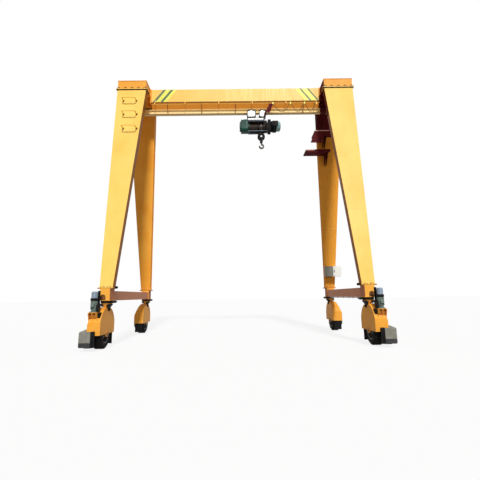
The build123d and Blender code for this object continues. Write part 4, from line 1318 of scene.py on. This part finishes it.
@dataclass
class WheelUnit:
    """Tyre, rim and drive details of one steered wheel unit.

    Attributes:
        corner: which corner it stands at.
    """

    corner: Corner
    half_span: float = 4.5
    half_base: float = 2.4
    axle_z: float = 0.470
    tyre_r: float = 0.470
    tyre_w: float = 0.330
    rim_r: float = 0.285
    wheel_off: float = 0.141
    fork_in: float = -0.067
    fork_out: float = 0.349
    fork_half: float = 0.606
    hub_out: float = 0.118
    ring_z0: float = 1.506
    flange_t: float = 0.020
    shelf_z: float = 1.225
    motor_off: float = 0.190
    motor_y: float = -0.548
    motor_r: float = 0.108
    motor_top: float = 1.900
    case_out: float = 0.552
    case_y0: float = -0.712
    case_z0: float = 0.118
    case_z1: float = 0.618
    lugs: int = 34

    def place(self) -> Matrix:
        """From the unit's own directions (outboard, along travel, up) to the row frame."""
        return Matrix.Translation(
            (self.corner.sx * self.half_span, self.corner.sy * self.half_base, 0.0)
        ) @ Matrix.Diagonal((self.corner.sx, 1.0, 1.0, 1.0))

    def keep(self, shape: Shape, name: str, finish: Finish) -> None:
        """Turn a mesh drawn in the unit's own directions into a piece that steers.

        Args:
            shape: the mesh.
            name: the piece's name without its corner.
            finish: its finish.
        """
        p = self.corner.place
        shape.make(f"{name}_{p}", finish, f"unit_{p}", self.place())

    def tyre(self) -> None:
        """Tyre with side wall rings and two rows of slanting lugs."""
        half = self.tyre_w / 2
        shape = Shape()
        axle = (self.wheel_off, 0.0, self.axle_z)
        side = [
            (half - 0.016, self.rim_r), (half - 0.004, self.rim_r + 0.012),
            (half - 0.002, self.rim_r + 0.030), (half - 0.009, self.rim_r + 0.034),
            (half - 0.003, self.rim_r + 0.058), (half, self.rim_r + 0.066),
            (half - 0.003, self.rim_r + 0.074), (half - 0.006, self.rim_r + 0.10),
            (half - 0.018, self.rim_r + 0.135), (half - 0.040, self.rim_r + 0.156),
            (half - 0.085, self.rim_r + 0.163),
        ]  # fmt: skip
        outline = side + [(-x, r) for x, r in reversed(side)]
        shape.lathe(outline, axle, Along.X, 64, True)
        pitch = 2 * math.pi / self.lugs
        for i in range(self.lugs):
            for way in (-1, 1):
                angle = (i + (0.25 if way > 0 else -0.25)) * pitch
                turn = Matrix.Rotation(angle, 4, "X")
                slant = turn @ Matrix.Rotation(math.radians(way * 22), 4, "Z")
                deep = 0.034
                crown = Vector((way * 0.066, 0.0, self.tyre_r - 0.0018 - deep / 2))
                shape.block(Vector(axle) + turn @ crown, (0.124, 0.044, deep), 0.004, slant)
                edge = Vector((way * (half - 0.026), 0.0, self.tyre_r - 0.046))
                lean = turn @ Matrix.Rotation(math.radians(way * 52), 4, "Y")
                shape.block(Vector(axle) + turn @ edge, (0.062, 0.042, 0.022), 0.003, lean)
        p = self.corner.place
        shape.make(f"treaded_tyre_{p}", Finish.TYRE, f"wheel_{p}", self.place(), (f"tyre_{p}",))

    def rim_nuts(self) -> None:
        """Wheel nuts on both faces of the rim; on a free wheel, the hub's bolts and cap too."""
        shape = Shape()
        axle = Vector((0.0, 0.0, self.axle_z))
        for way, off in ((1, 0.004), (-1, -0.034)):
            for spot in around(10, "X", (self.wheel_off + off, 0.0, 0.178), 0.0):
                shape.bolt(spot + axle, Along.X, 0.034, way)
        if not self.corner.driven:
            face = self.fork_out + self.hub_out
            for spot in around(8, "X", (face, 0.0, 0.128)):
                shape.bolt(spot + axle, Along.X, 0.028)
            shape.disc((face + 0.024, 0, self.axle_z), Along.X, 0.052, 0.014, 32, 0.004)
        p = self.corner.place
        shape.make(f"wheel_nuts_{p}", Finish.SCREW, f"wheel_{p}", self.place())

    def fork_fittings(self) -> None:
        """Flange bolts and the side buffer of the fork."""
        bolts = Shape()
        for spot in around(12, "Z", (0.166, 0.0, self.ring_z0 - self.flange_t)):
            bolts.bolt(spot, Along.Z, HEAD, -1.0)
        for y in (-0.10, 0.10):
            bolts.bolt((self.fork_in - 0.010, y, self.axle_z + 0.062), Along.X, HEAD, -1.0)
        self.keep(bolts, "fork_bolts", Finish.SCREW)
        black = Shape()
        black.block((self.fork_in - 0.006, 0.04, 1.290), (0.012, 0.12, 0.11), 0.003)
        black.disc((self.fork_in - 0.030, 0.04, 1.295), Along.X, 0.042, 0.05, 24, 0.012)
        self.keep(black, "steering_buffer", Finish.BLACK)

    def neck(self) -> None:
        """Black wedges standing in for the shade between the fork's turning flange and its crown, and
        the cone there.
        """
        struts = Shape()
        rim_z = self.ring_z0 - self.flange_t
        top, low = rim_z - 0.004, rim_z - 0.030
        for outline in (
            [(-0.172, top), (-0.172, low), (self.fork_in - 0.004, 1.325),
             (self.fork_in + 0.032, 1.365), (-0.040, top)],
            [(0.172, top), (0.172, low), (0.118, 1.390), (0.080, 1.390), (0.090, top)],
        ):
            struts.plate(outline, Along.Y, -0.125, 0.250, 0.003)
        struts.block((-0.120, 0.0, rim_z - 0.012), (0.100, 0.26, 0.018), 0.003)
        self.keep(struts, "neck_shade_wedges", Finish.BLACK)
        boot = Shape()
        boot.lathe(
            [(1.374, 0.070), (1.374, 0.086), (1.390, 0.090), (rim_z - 0.010, 0.163),
             (rim_z - 0.010, 0.150)],
            (0.0, 0.0, 0.0), Along.Z, 48, True,
        )  # fmt: skip
        self.keep(boot, "neck_cone", Finish.GANTRY)

    def flap(self) -> None:
        """Mud flap behind the wheel, and the weld beads of the wheel box."""
        flap = Shape()
        way = 1.0 if self.corner.driven else -1.0
        mid = (self.fork_in + self.fork_out) / 2
        flap.block((mid, way * 0.560, 0.478), (0.330, 0.070, 0.050), 0.004)
        flap.block((mid, way * 0.582, 0.285), (0.320, 0.016, 0.370), 0.003)
        for u in (-0.11, 0.0, 0.11):
            flap.bolt((mid + u, way * 0.590, 0.440), Along.Y, HEAD, way)
        self.keep(flap, "wheel_flap", Finish.BLACK)
        beads = Shape()
        for y in (-1, 1):
            for x, z, tall in ((self.fork_in + 0.001, 0.70, 0.40), (self.fork_out - 0.001, 0.67, 0.35)):
                beads.disc((x, y * (self.fork_half - 0.001), z), Along.Z, 0.005, tall, 8, 0.0)
        self.keep(beads, "fork_seams", Finish.DEEP)

    def motor(self) -> None:
        """Motor with the boxes beside and below it, and dark blocks as painted shade in the shelf
        pockets and in the pocket over the crown.
        """
        p, body = self.corner.place, f"unit_{self.corner.place}"
        x = self.corner.sx * (self.half_span + self.motor_off)
        y = self.corner.sy * self.half_base + self.motor_y
        FinnedMotor(
            f"travel_motor_{p}", f"drive_motor_{p}", body, (x, y, self.shelf_z), Along.Z,
            self.motor_r, (0.09, 0.37, 0.456, self.motor_top - self.shelf_z),
            Vector((0.0, -1.0, 0.0)),
        ).build()  # fmt: skip
        side_box = Shape()
        side_box.block((0.060, self.motor_y, 1.36), (0.056, 0.13, 0.22), 0.005)
        side_box.block((0.030, self.motor_y, 1.36), (0.010, 0.14, 0.23), 0.003)
        top = 1.92
        side_box.block(
            (0.095, -0.425, (self.shelf_z + top) / 2), (0.080, 0.030, top - self.shelf_z), 0.003
        )
        side_box.block((0.185, -0.262, 1.430), (0.150, 0.100, 0.132), 0.006)
        side_box.block((0.132, -0.660, 0.375), (0.104, 0.090, 0.500), 0.008)
        for u in (0.100, 0.132, 0.164):
            side_box.block((u, -0.706, 0.375), (0.010, 0.012, 0.420), 0.002)
        self.keep(side_box, "brake_box", Finish.BLACK)
        # dark ochre blocks as painted shade in the pockets under the motor shelf
        pockets = Shape()
        for u in (self.motor_off - 0.064, self.motor_off + 0.064):
            pockets.disc((u, -0.53, 1.085), Along.Y, 0.055, 0.131, 24, 0.0)
            pockets.block((u, -0.53, 1.143), (0.110, 0.130, 0.116), 0.0)
        self.keep(pockets, "shelf_pocket_shade", Finish.OCHRE)
        # a black block as painted shade in the pocket between the shelf and the crown
        crown_shade_block = Shape()
        crown_shade_block.block((0.008, -0.495, 1.120), (0.090, 0.130, 0.190), 0.010)
        crown_shade_block.block((0.008, -0.562, 1.135), (0.074, 0.008, 0.140), 0.003)
        self.keep(crown_shade_block, "crown_pocket_shade", Finish.BLACK)

    def gear_case(self) -> None:
        """Cover, ribs and bolts of the gear case, and the motor's foot bolts."""
        case = Shape()
        face = self.case_out
        outline = [
            (self.case_y0 + 0.03, self.case_z0 + 0.06), (self.case_y0 + 0.03, self.case_z1 - 0.05),
            (self.case_y0 + 0.05, self.case_z1 - 0.03), (-0.12, self.axle_z + 0.165),
            (-0.12, self.axle_z - 0.165), (self.case_y0 + 0.11, self.case_z0 + 0.03),
        ]  # fmt: skip
        case.plate(outline, Along.X, face - 0.012, 0.018, 0.004)
        for z in (0.30, 0.40, 0.50):
            case.block((0.37, self.case_y0 + 0.004, z), (0.26, 0.012, 0.014), 0.003)
        self.keep(case, "gear_cover", Finish.CASE)
        bolts = Shape()
        for y, z in (
            (self.case_y0 + 0.06, 0.23), (self.case_y0 + 0.06, 0.38), (self.case_y0 + 0.06, 0.53),
            (-0.46, 0.19), (-0.28, 0.24), (-0.46, 0.60), (-0.28, 0.63), (-0.15, 0.37),
            (-0.15, 0.57),
        ):  # fmt: skip
            bolts.bolt((face + 0.005, y, z), Along.X, LARGE_HEAD)
        bolts.disc((face + 0.012, -0.40, 0.30), Along.X, 0.024, 0.02, 8, 0.002)
        for x in (-0.09, 0.09):
            for y in (-0.115, 0.115):
                bolts.bolt(
                    (self.motor_off + x, self.motor_y + y * 0.86, self.shelf_z), Along.Z, LARGE_HEAD
                )
        self.keep(bolts, "drive_bolts", Finish.SCREW)

    def build(self) -> None:
        """Make every fine part of the unit."""
        self.tyre()
        self.rim_nuts()
        self.fork_fittings()
        self.neck()
        self.flap()
        if self.corner.driven:
            self.motor()
            self.gear_case()
        LOG.info("wheel unit: %s", self.corner.place)


@dataclass
class Trolley:
    """Carriage, hoist, ropes, hook block and the hanging supply cable.

    The hoist's machinery hangs on the trolley, and its lengths run along X.
    """

    carriages: tuple[Pair, Pair] = ((0.724, 0.404), (1.226, 0.312))
    plate_y: float = 0.100
    plate_t: float = 0.012
    plate_z0: float = 9.700
    plate_z1: float = 10.065
    drum_x0: float = 0.557
    drum_x1: float = 1.290
    drum_z: float = 9.225
    drum_r: float = 0.155
    drum_flange_r: float = 0.178
    shaft_r: float = 0.040
    end_plate_t: float = 0.016
    motor_r: float = 0.268
    hook_x: float = 1.148
    sheave_z: float = 8.790
    anchor_z: float = 8.985
    rope_off: float = 0.140
    rope_r: float = 0.007
    block_half_w: float = 0.046
    fest_y: float = -0.372
    rail_z: float = 10.227
    rail_r: float = 0.015
    cable_r: float = 0.015
    loop: float = 0.370
    tops: tuple[float, ...] = (1.66, 2.477, 3.108, 3.616)

    def carriage(self) -> None:
        """Dark rims and bolts of the white carriage plates."""
        rims, hubs = Shape(), Shape()
        z_mid, high = (self.plate_z0 + self.plate_z1) / 2, self.plate_z1 - self.plate_z0
        for x, wide in self.carriages:
            for side in (-1, 1):
                y = side * (self.plate_y + self.plate_t)
                for z in (self.plate_z0, self.plate_z1):
                    way = 1 if z > z_mid else -1
                    rims.block((x, y, z - way * 0.016), (wide - 0.13, 0.026, 0.032), 0.004)
                for way in (-1, 1):
                    rims.block(
                        (x + way * (wide / 2 - 0.016), y, z_mid), (0.032, 0.026, high - 0.13),
                        0.004,
                    )  # fmt: skip
                    for up in (-1, 1):
                        corner = (
                            x + way * (wide / 2 - 0.041), y, z_mid + up * (high / 2 - 0.041),
                        )  # fmt: skip
                        turn = Matrix.Rotation(math.radians(way * up * 45), 4, "Y")
                        rims.block(corner, (0.112, 0.026, 0.032), 0.004, turn)
                for spot in (-0.30, 0.30):
                    hubs.bolt((x + spot * wide, y, self.plate_z0 + 0.11), Along.Y, SMALL_HEAD, side)
        rims.make("carriage_rims", Finish.BLACK, "trolley")
        hubs.make("carriage_bolts", Finish.SCREW, "trolley")

    def drum(self) -> None:
        """Barrel with its flanges and the rope wound on it."""
        gap = 0.008
        x0, x1 = self.drum_x0 + gap, self.drum_x1 - gap
        barrel = Shape()
        bed = self.drum_r - 2 * self.rope_r
        barrel.lathe(
            [
                (self.drum_x0 - self.end_plate_t, 0.0),
                (self.drum_x0 - self.end_plate_t, self.shaft_r),
                (x0, self.shaft_r), (x0, self.drum_flange_r), (x0 + 0.02, self.drum_flange_r),
                (x0 + 0.02, bed), (x1 - 0.02, bed), (x1 - 0.02, self.drum_flange_r),
                (x1, self.drum_flange_r), (x1, self.shaft_r),
                (self.drum_x1 + self.end_plate_t, self.shaft_r),
                (self.drum_x1 + self.end_plate_t, 0.0),
            ],
            (0.0, 0.0, self.drum_z), Along.X, 64,
        )  # fmt: skip
        barrel.make("drum_barrel", Finish.DRUM, "drum", stands_for=("hoist_drum",))
        rope = Shape()
        pitch = 2 * self.rope_r + 0.0012
        start = x0 + 0.02 + self.rope_r
        turns = int((self.hook_x - self.rope_off - start) / pitch)
        rope.coil((start, 0.0, self.drum_z), Along.X, bed + self.rope_r, self.rope_r, pitch, turns)
        rope.make("drum_rope", Finish.ROPE, "drum")

    @property
    def drum_mid(self) -> float:
        """Middle of the drum's space along X."""
        return (self.drum_x0 + self.drum_x1) / 2

    @property
    def drum_long(self) -> float:
        """Length of the drum's space along X."""
        return self.drum_x1 - self.drum_x0

    def gear_housing(self) -> None:
        """Ribs, screws and end cap of the hoist's gear housing."""
        x1 = self.drum_x0 - self.end_plate_t
        gear = Shape()
        z = self.drum_z + 0.07
        wide, tall = 0.436, 0.576
        for at in (x1 - 0.150, x1 - 0.296):
            for way in (-1, 1):
                gear.block((at, way * (wide / 2 - 0.003), z), (0.018, 0.014, tall - 0.26), 0.003)
                gear.block((at, 0.0, z + way * (tall / 2 - 0.003)), (0.018, wide - 0.26, 0.014))
        for y in (-0.12, -0.06, 0.0, 0.06, 0.12):
            gear.block((x1 - 0.10, y, z + 0.29), (0.16, 0.012, 0.03), 0.003)
        gear.make("gear_housing_ribs", Finish.TEAL, "trolley")
        screws = Shape()
        for spot in around(12, "X", (0.0, 0.0, 0.178)):
            screws.bolt((x1 - 0.300, spot.y, z + spot.z), Along.X, LARGE_HEAD, -1.0)
        for y in (-0.1, 0.1):
            for up in (-0.12, 0.12):
                screws.bolt((x1 - 0.355, y, z + up), Along.X, HEAD, -1.0)
        for side in (-1, 1):
            for x in (self.drum_x0 + 0.04, self.drum_x1 - 0.04):
                screws.bolt((x, side * 0.085, 9.702), Along.Z, LARGE_HEAD)
        screws.make("hoist_screws", Finish.SCREW, "trolley")
        cap = Shape()
        cap.disc((x1 - 0.362, 0.0, z), Along.X, 0.095, 0.014, 32, 0.004)
        cap.disc((x1 - 0.362, 0.07, z - 0.14), Along.X, 0.022, 0.016, 16, 0.003)
        cap.make("gear_housing_cap", Finish.MINT, "trolley")

    def rods(self) -> None:
        """Tie rods with their sleeves, and the rope guide round the drum."""
        guide = Shape()
        axis = (0.0, 0.0, self.drum_z)
        mid_x, long = self.drum_mid, self.drum_long
        for y, dz in ((-0.166, 0.270), (0.166, 0.270), (-0.112, -0.189), (0.112, -0.189)):
            guide.disc(
                (mid_x + 0.075, y, self.drum_z + dz), Along.X, 0.012, long + 0.148, 12, 0.0
            )
        at = self.drum_x1 - 0.150
        guide.ring(axis, Along.X, (at, at + 0.018), (0.163, 0.180), 48)
        for y in (-0.172, 0.172):
            guide.block((at + 0.009, y, self.drum_z - 0.06), (0.018, 0.024, 0.03), 0.002)
        guide.make("hoist_rods", Finish.COWL, "trolley")
        sleeves = Shape()
        for side in (-1, 1):
            spot = (mid_x, side * 0.198, self.drum_z - 0.060)
            sleeves.disc(spot, Along.X, 0.0155, long - 0.004, 16, 0.001)
        sleeves.make("tie_sleeves", Finish.DRUM, "trolley")
        ring = Shape()
        at = self.hook_x - self.rope_off
        ring.ring(axis, Along.X, (at - 0.03, at + 0.03), (0.161, 0.172), 48)
        ring.block((at, -0.182, self.drum_z + 0.115), (0.05, 0.03, 0.02), 0.003)
        ring.make("rope_guide", Finish.BLACK, "trolley")

    def covers(self) -> None:
        """Guards and covers round the drum, and the limit switch box at its end."""
        axis = (0.0, 0.0, self.drum_z)
        mid_x, wide = self.drum_mid, self.drum_long - 0.004
        x1 = self.drum_x0 - self.end_plate_t
        guards = Shape()
        guards.ring(axis, Along.X, (x1 + 0.016, x1 + 0.080), (0.186, 0.204), 64)
        guards.make("drum_end_guard", Finish.TEAL, "trolley")
        end = self.drum_x1 + self.end_plate_t
        shroud = Shape()
        shroud.ring(axis, Along.X, (end - 0.050, end + 0.145), (0.186, 0.200), 64)
        shroud.make("drum_end_shroud", Finish.DRUM, "trolley")
        limit_box = Shape()
        limit_box.block((end + 0.215, 0.0, self.drum_z + 0.050), (0.140, 0.400, 0.560), 0.030)
        limit_box.make("hoist_limit_box", Finish.BLACK, "trolley")
        back = Shape()
        back.block((mid_x, 0.232, 9.300), (wide, 0.004, 0.520), 0.001)
        for x in (mid_x - 0.24, mid_x, mid_x + 0.24):
            back.block((x, 0.236, 9.300), (0.030, 0.010, 0.480), 0.003)
        back.block((mid_x, 0.0, 9.485), (wide, 0.300, 0.050), 0.010)
        back.make("drum_back_guard", Finish.DRUM, "trolley")
        lid = Shape()
        for side in (-1, 1):
            lid.block((mid_x, side * 0.1265, 9.612), (wide, 0.003, 0.086), 0.001)
        lid.make("hoist_top_covers", Finish.PLATE, "trolley")

    def motor(self) -> None:
        """The hoist's motor."""
        FinnedMotor(
            "hoist_motor", "hoist_motor", "trolley",
            (self.drum_x1 + self.end_plate_t, 0.0, self.drum_z + 0.060), Along.X, self.motor_r * 0.88,
            (0.28, 0.37, 0.53, 0.73), Vector((0.0, -1.0, 0.0)), 34, Finish.BLACK, Finish.MINT,
            Finish.BLACK, 0.46,
        ).build()  # fmt: skip

    def strand_rope(
        self, x: float, z0: float, z1: float, name: str, node: str, fixed: bool
    ) -> None:
        """Lay a rope of six twisted strands.

        Args:
            x: place of the rope.
            z0: height of its lower end.
            z1: height of its upper end.
            name: the piece's name.
            node: CAD node that it stands for, or an empty name.
            fixed: whether it stays on the trolley, or stretches down to the hook block.
        """
        shape = Shape()
        lay = 0.09
        steps = max(4, int((z1 - z0) / 0.012))
        for i in range(6):
            points = []
            for k in range(steps + 1):
                z = z0 + (z1 - z0) * k / steps
                angle = 2 * math.pi * (i / 6 + (z - z0) / lay)
                points.append((x + 0.0044 * math.cos(angle), 0.0044 * math.sin(angle), z))
            shape.wire(points, 0.0026, False, 1)
        made = shape.make(
            name, Finish.ROPE, "trolley" if fixed else None, stands_for=(node,) if node else ()
        )
        if not fixed:
            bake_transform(made)

    def ropes(self) -> None:
        """The two falls and the lead up to the drum."""
        left, right = self.hook_x - self.rope_off, self.hook_x + self.rope_off
        self.strand_rope(
            left, self.sheave_z, self.anchor_z, "rope_fall_left", "rope_falls", False
        )
        self.strand_rope(right, self.sheave_z, self.anchor_z, "rope_fall_right", "", False)
        self.strand_rope(
            left, self.anchor_z, self.drum_z - self.drum_r, "rope_lead_up", "rope_lead", True
        )

    def hook_block(self) -> None:
        """Cover screws and pin caps of the hook block, the caps white as a painted highlight."""
        shape, caps = Shape(), Shape()
        for side in (-1, 1):
            y = side * (self.block_half_w + 0.006)
            for spot in around(6, "Y", (0.14, y, 0.0)):
                middle = (self.hook_x + spot.x, y, self.sheave_z + spot.z)
                shape.bolt(middle, Along.Y, SMALL_HEAD, side)
            # white caps as a painted highlight on the pins
            caps.disc((self.hook_x, y + side * 0.015, self.sheave_z), Along.Y, 0.044, 0.03, 32, 0.006)
        shape.make("block_screws", Finish.BLACK, "hook_block")
        caps.make("block_pin_cap_highlights", Finish.PLATE, "hook_block")

    def cable(self) -> None:
        """The hanging supply cable and the carriers that it hangs from."""
        cable_z = self.rail_z - self.rail_r - self.cable_r - 0.022
        dips = ((0.10, 0.16), (0.24, 0.70), (0.40, 0.98), (0.60, 0.98), (0.76, 0.70), (0.90, 0.16))
        route = [(self.tops[0], self.fest_y, cable_z)]
        for left, right in zip(self.tops[:-1], self.tops[1:]):
            a, b = left + 0.028, right - 0.028
            route.append((a, self.fest_y, cable_z))
            route += [
                (a + u * (b - a), self.fest_y, cable_z - w * self.loop) for u, w in dips
            ]
            route.append((b, self.fest_y, cable_z))
        route.append((self.tops[-1], self.fest_y, cable_z))
        line = Shape()
        line.wire(route, 0.8 * self.cable_r, True, 3)
        made = line.make("supply_cable", Finish.SHEATH, None, stands_for=("festoon_cable",))
        arm = Shape()
        front = self.fest_y - 0.034
        arm.plate(
            [
                (1.430, 9.735), (1.500, 9.735), (1.600, 9.890), (1.640, 10.190), (1.500, 10.190),
                (1.480, 9.890),
            ],
            Along.Y, front, 0.008, 0.002,
        )  # fmt: skip
        for x, z in ((1.53, 10.14), (1.61, 10.14), (1.54, 9.86)):
            arm.bolt((x, front, z), Along.Y, SMALL_HEAD, -1.0)
        arm.make("tow_arm_plate", Finish.OXIDE, "trolley")
        self.carrier(self.tops[0] + 0.03, cable_z).make("tow_carrier", Finish.LIME, "trolley")
        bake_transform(made)
        for i, x in enumerate(self.tops[1:-1]):
            carrier = self.carrier(x, cable_z)
            piece = carrier.make(f"cable_carrier_{i + 1}", Finish.LIME, None)
            # a carrier keeps its shape: its whole height has one share of the travel
            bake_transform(piece)

    def carrier(self, x: float, cable_z: float) -> Shape:
        """One carrier: two rollers on the rail, side plates and the cable's saddle.

        Args:
            x: place along the rail.
            cable_z: height of the cable's middle.

        Returns:
            The carrier's shape.
        """
        shape = Shape()
        top = self.rail_z + self.rail_r
        for side in (-1, 1):
            shape.block(
                (x, self.fest_y + side * 0.024, (top + cable_z) / 2 + 0.012),
                (0.052, 0.005, top - cable_z + 0.036), 0.002,
            )  # fmt: skip
        shape.disc((x, self.fest_y, top + 0.013), Along.Y, 0.0125, 0.044, 16, 0.002)
        shape.disc((x, self.fest_y, top + 0.013), Along.Y, 0.006, 0.06, 10, 0.001)
        shape.block((x, self.fest_y, cable_z + 0.021), (0.056, 0.050, 0.010), 0.002)
        shape.block((x, self.fest_y, cable_z - 0.020), (0.056, 0.050, 0.008), 0.002)
        return shape

    def build(self) -> None:
        """Make every fine part of the trolley."""
        for step in (
            self.carriage, self.drum, self.gear_housing, self.rods, self.covers, self.motor,
            self.ropes, self.hook_block, self.cable,
        ):  # fmt: skip
            step()
            LOG.info("trolley: %s", step.__name__)


@dataclass
class Cabinet:
    """Handle and louvres of the control cabinet, screws and glands of the box beside it."""

    x0: float = 4.551
    x1: float = 4.930
    z0: float = 2.547
    z1: float = 3.030

    def build(self) -> None:
        """Make the cabinet's fittings."""
        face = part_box("cabinet_door")[0].y
        mid_z = (self.z0 + self.z1) / 2
        louvres = Shape()
        for i in range(5):
            louvres.block(
                (self.x0 + 0.21, face - 0.005, self.z0 + 0.09 + i * 0.028), (0.18, 0.010, 0.012),
                0.002, Matrix.Rotation(math.radians(-25), 4, "X"),
            )  # fmt: skip
        louvres.block(
            ((self.x0 + self.x1) / 2, face - 0.002, mid_z),
            (self.x1 - self.x0 - 0.05, 0.004, self.z1 - self.z0 - 0.05), 0.0015,
        )  # fmt: skip
        louvres.make("cabinet_louvres", Finish.CABINET, "door")
        lock = Shape()
        lock.block((self.x0 + 0.055, face - 0.008, mid_z), (0.030, 0.014, 0.11), 0.004)
        lock.disc((self.x0 + 0.055, face - 0.020, mid_z + 0.02), Along.Y, 0.011, 0.014, 16, 0.002)
        lock.block((self.x0 + 0.055, face - 0.026, mid_z - 0.012), (0.016, 0.010, 0.075), 0.003)
        lock.make("cabinet_handle", Finish.BLACK, "door")
        box_low, box_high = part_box("junction_box")
        screws, glands = Shape(), Shape()
        for x in (box_low.x + 0.018, box_high.x - 0.018):
            for z in (self.z0 + 0.018, mid_z, self.z1 - 0.018):
                screws.disc((x, box_low.y - 0.002, z), Along.Y, 0.009, 0.006, 14, 0.001)
        for x in (box_low.x + 0.09, box_low.x + 0.18, box_low.x + 0.27):
            glands.disc((x, box_low.y + 0.12, self.z0 - 0.012), Along.Z, 0.021, 0.040, 6, 0.002)
            glands.disc((x, box_low.y + 0.12, self.z0 - 0.040), Along.Z, 0.015, 0.030, 16, 0.002)
        screws.make("junction_box_screws", Finish.SCREW, "frame")
        glands.make("junction_box_glands", Finish.BLACK, "frame")
        LOG.info("cabinet")


@dataclass
class Studio:
    """Camera, lamps, floor and world.

    Attributes:
        eye: the camera's place.
        pitch: its tilt above the horizon, in degrees.
        yaw: its turn to the right, in degrees.
        roll: its roll, in degrees.
        focal_px: its focal length in pixels.
        frame_px: width of the picture in pixels.
        sun_power: strength of the key light.
        sun_spread: its width as seen from the ground, in degrees.
        sky: strength of the white surroundings as a light.
        sun_way: direction in which the key light shines.
    """

    eye: Point = (0.049, -13.848, 1.690)
    pitch: float = 9.70
    yaw: float = 0.296
    roll: float = -0.796
    focal_px: float = 326.93
    frame_px: int = 480
    sun_power: float = 2.75
    sun_spread: float = 9.0
    sky: float = 0.34
    sun_way: Point = (-0.110, 0.792, -0.600)

    def camera(self) -> None:
        """Set the camera where the photograph was taken from."""
        p, y, r = (math.radians(v) for v in (self.pitch, self.yaw, self.roll))
        ahead = Vector(
            (math.sin(y) * math.cos(p), math.cos(y) * math.cos(p), math.sin(p))
        )
        right = Vector((math.cos(y), -math.sin(y), 0.0))
        up = right.cross(ahead)
        side = right * math.cos(r) + up * math.sin(r)
        top = up * math.cos(r) - right * math.sin(r)
        data = bpy.data.cameras.new("camera")
        data.sensor_width = 36.0
        data.lens = 36.0 * self.focal_px / self.frame_px
        data.clip_end = 500.0
        holder = link("camera", data)
        turn = Matrix((side, top, -ahead)).transposed().to_4x4()
        holder.matrix_world = Matrix.Translation(self.eye) @ turn
        bpy.context.scene.camera = holder

    def lamps(self) -> None:
        """One broad soft key light from behind the camera, a little to its right."""
        data = bpy.data.lights.new("key", "SUN")
        data.energy = self.sun_power
        data.angle = math.radians(self.sun_spread)
        link("key", data).rotation_euler = Vector(self.sun_way).to_track_quat("-Z", "Y").to_euler()

    @staticmethod
    def seen(tree: bpy.types.NodeTree) -> bpy.types.NodeSocket:
        """Share that is 1 for what the camera, a reflection or a glass shows.

        Args:
            tree: the tree that it goes into.

        Returns:
            The share's socket.
        """
        path = add_node(tree, "ShaderNodeLightPath")
        share = path.outputs["Is Camera Ray"]
        for kind in ("Is Glossy Ray", "Is Transmission Ray"):
            both = {0: share, 1: path.outputs[kind]}
            share = add_node(
                tree, "ShaderNodeMath", links=both, operation="ADD", use_clamp=True
            ).outputs[0]
        return share

    def world(self) -> None:
        """White surroundings, dimmer as light on the object than as background."""
        world = bpy.data.worlds.new("studio")
        bpy.context.scene.world = world
        tree = clear_tree(world)
        strength = spread(tree, self.seen(tree), 0.0, 1.0, self.sky, 1.0)
        back = add_node(
            tree, "ShaderNodeBackground", {"Color": (1.0, 1.0, 1.0, 1.0)},
            {"Strength": strength},
        )  # fmt: skip
        add_node(tree, "ShaderNodeOutputWorld", links={"Surface": back.outputs[0]})

    def floor(self) -> None:
        """Pale floor that keeps the crane's shadow."""
        bm = bmesh.new()
        bmesh.ops.create_grid(bm, x_segments=1, y_segments=1, size=160.0)
        mesh = bpy.data.meshes.new("floor")
        bm.to_mesh(mesh)
        bm.free()
        made = bpy.data.materials.new("painted_concrete_floor")
        tree = clear_tree(made)
        place = add_node(tree, "ShaderNodeTexCoord").outputs["Object"]
        shade = spread(tree, noise(tree, place, 3.0, 6.0, 0.5), 0.0, 1.0, 0.93, 0.98)
        lit = add_node(tree, "ShaderNodeBsdfDiffuse", links={"Color": shade})
        white = add_node(tree, "ShaderNodeEmission", {"Strength": 1.0})
        pale = add_node(
            tree, "ShaderNodeMixShader", {0: 0.84}, {1: lit.outputs[0], 2: white.outputs[0]}
        )
        grey = add_node(tree, "ShaderNodeBsdfDiffuse", {"Color": (0.34, 0.34, 0.34, 1.0)})
        mix = add_node(
            tree, "ShaderNodeMixShader",
            links={0: self.seen(tree), 1: grey.outputs[0], 2: pale.outputs[0]},
        )  # fmt: skip
        add_node(tree, "ShaderNodeOutputMaterial", links={"Surface": mix.outputs[0]})
        mesh.materials.append(made)
        link("floor", mesh)

    def build(self) -> None:
        """Make the studio."""
        scene = bpy.context.scene
        scene.view_settings.view_transform = "Standard"
        self.camera()
        self.lamps()
        self.world()
        self.floor()
        LOG.info("studio")


@dataclass
class FrameCoats:
    """Finishes of the CAD nodes that stay.

    Attributes:
        record: the part's record.
    """

    record: dict[str, Any] = field(default_factory=dict)

    def build(self, nodes: dict[str, bpy.types.Object]) -> None:
        """Give each CAD node the finish of its slot.

        Args:
            nodes: the CAD nodes by name.
        """
        by_slot: dict[str, Finish] = {}
        for finish in Finish:
            by_slot.setdefault(finish.value.slot, finish)
        # the rear legs take the deeper orange, partly as painted shade on their faces
        special = {
            "fork": Finish.DEEP, "sill": Finish.SILL, "saddle": Finish.DEEP,
            "saddle_right": Finish.SADDLE, "main_girder": Finish.GIRDER,
            "leg_rear_left": Finish.DEEP, "leg_rear_right": Finish.LEG_HEAD,
            "track_beam": Finish.TRACK, "track_flange": Finish.TRACK,
            "hoist_gearbox": Finish.TEAL, "hoist_frame": Finish.DRUM,
            "hook_block": Finish.BLACK,
        }  # fmt: skip
        for part in self.record["subparts"]:
            name = part["node"]
            piece = nodes[name]
            own = special.get(name) or special.get(name.split("_")[0])
            coat = (own or by_slot[part["material_slot"]]).value.material()
            for slot in piece.material_slots:
                slot.material = coat
        LOG.info("finishes on %d nodes", len(self.record["subparts"]))


def main() -> None:
    """Load the frame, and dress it."""
    logging.basicConfig(level=logging.INFO, format="%(message)s")
    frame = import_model()
    Studio().build()
    FrameCoats(frame["record"]).build(frame["nodes"])
    Portal().build()
    for corner in CORNERS:
        WheelUnit(corner).build()
    Trolley().build()
    Cabinet().build()


if __name__ == "__main__":
    main()
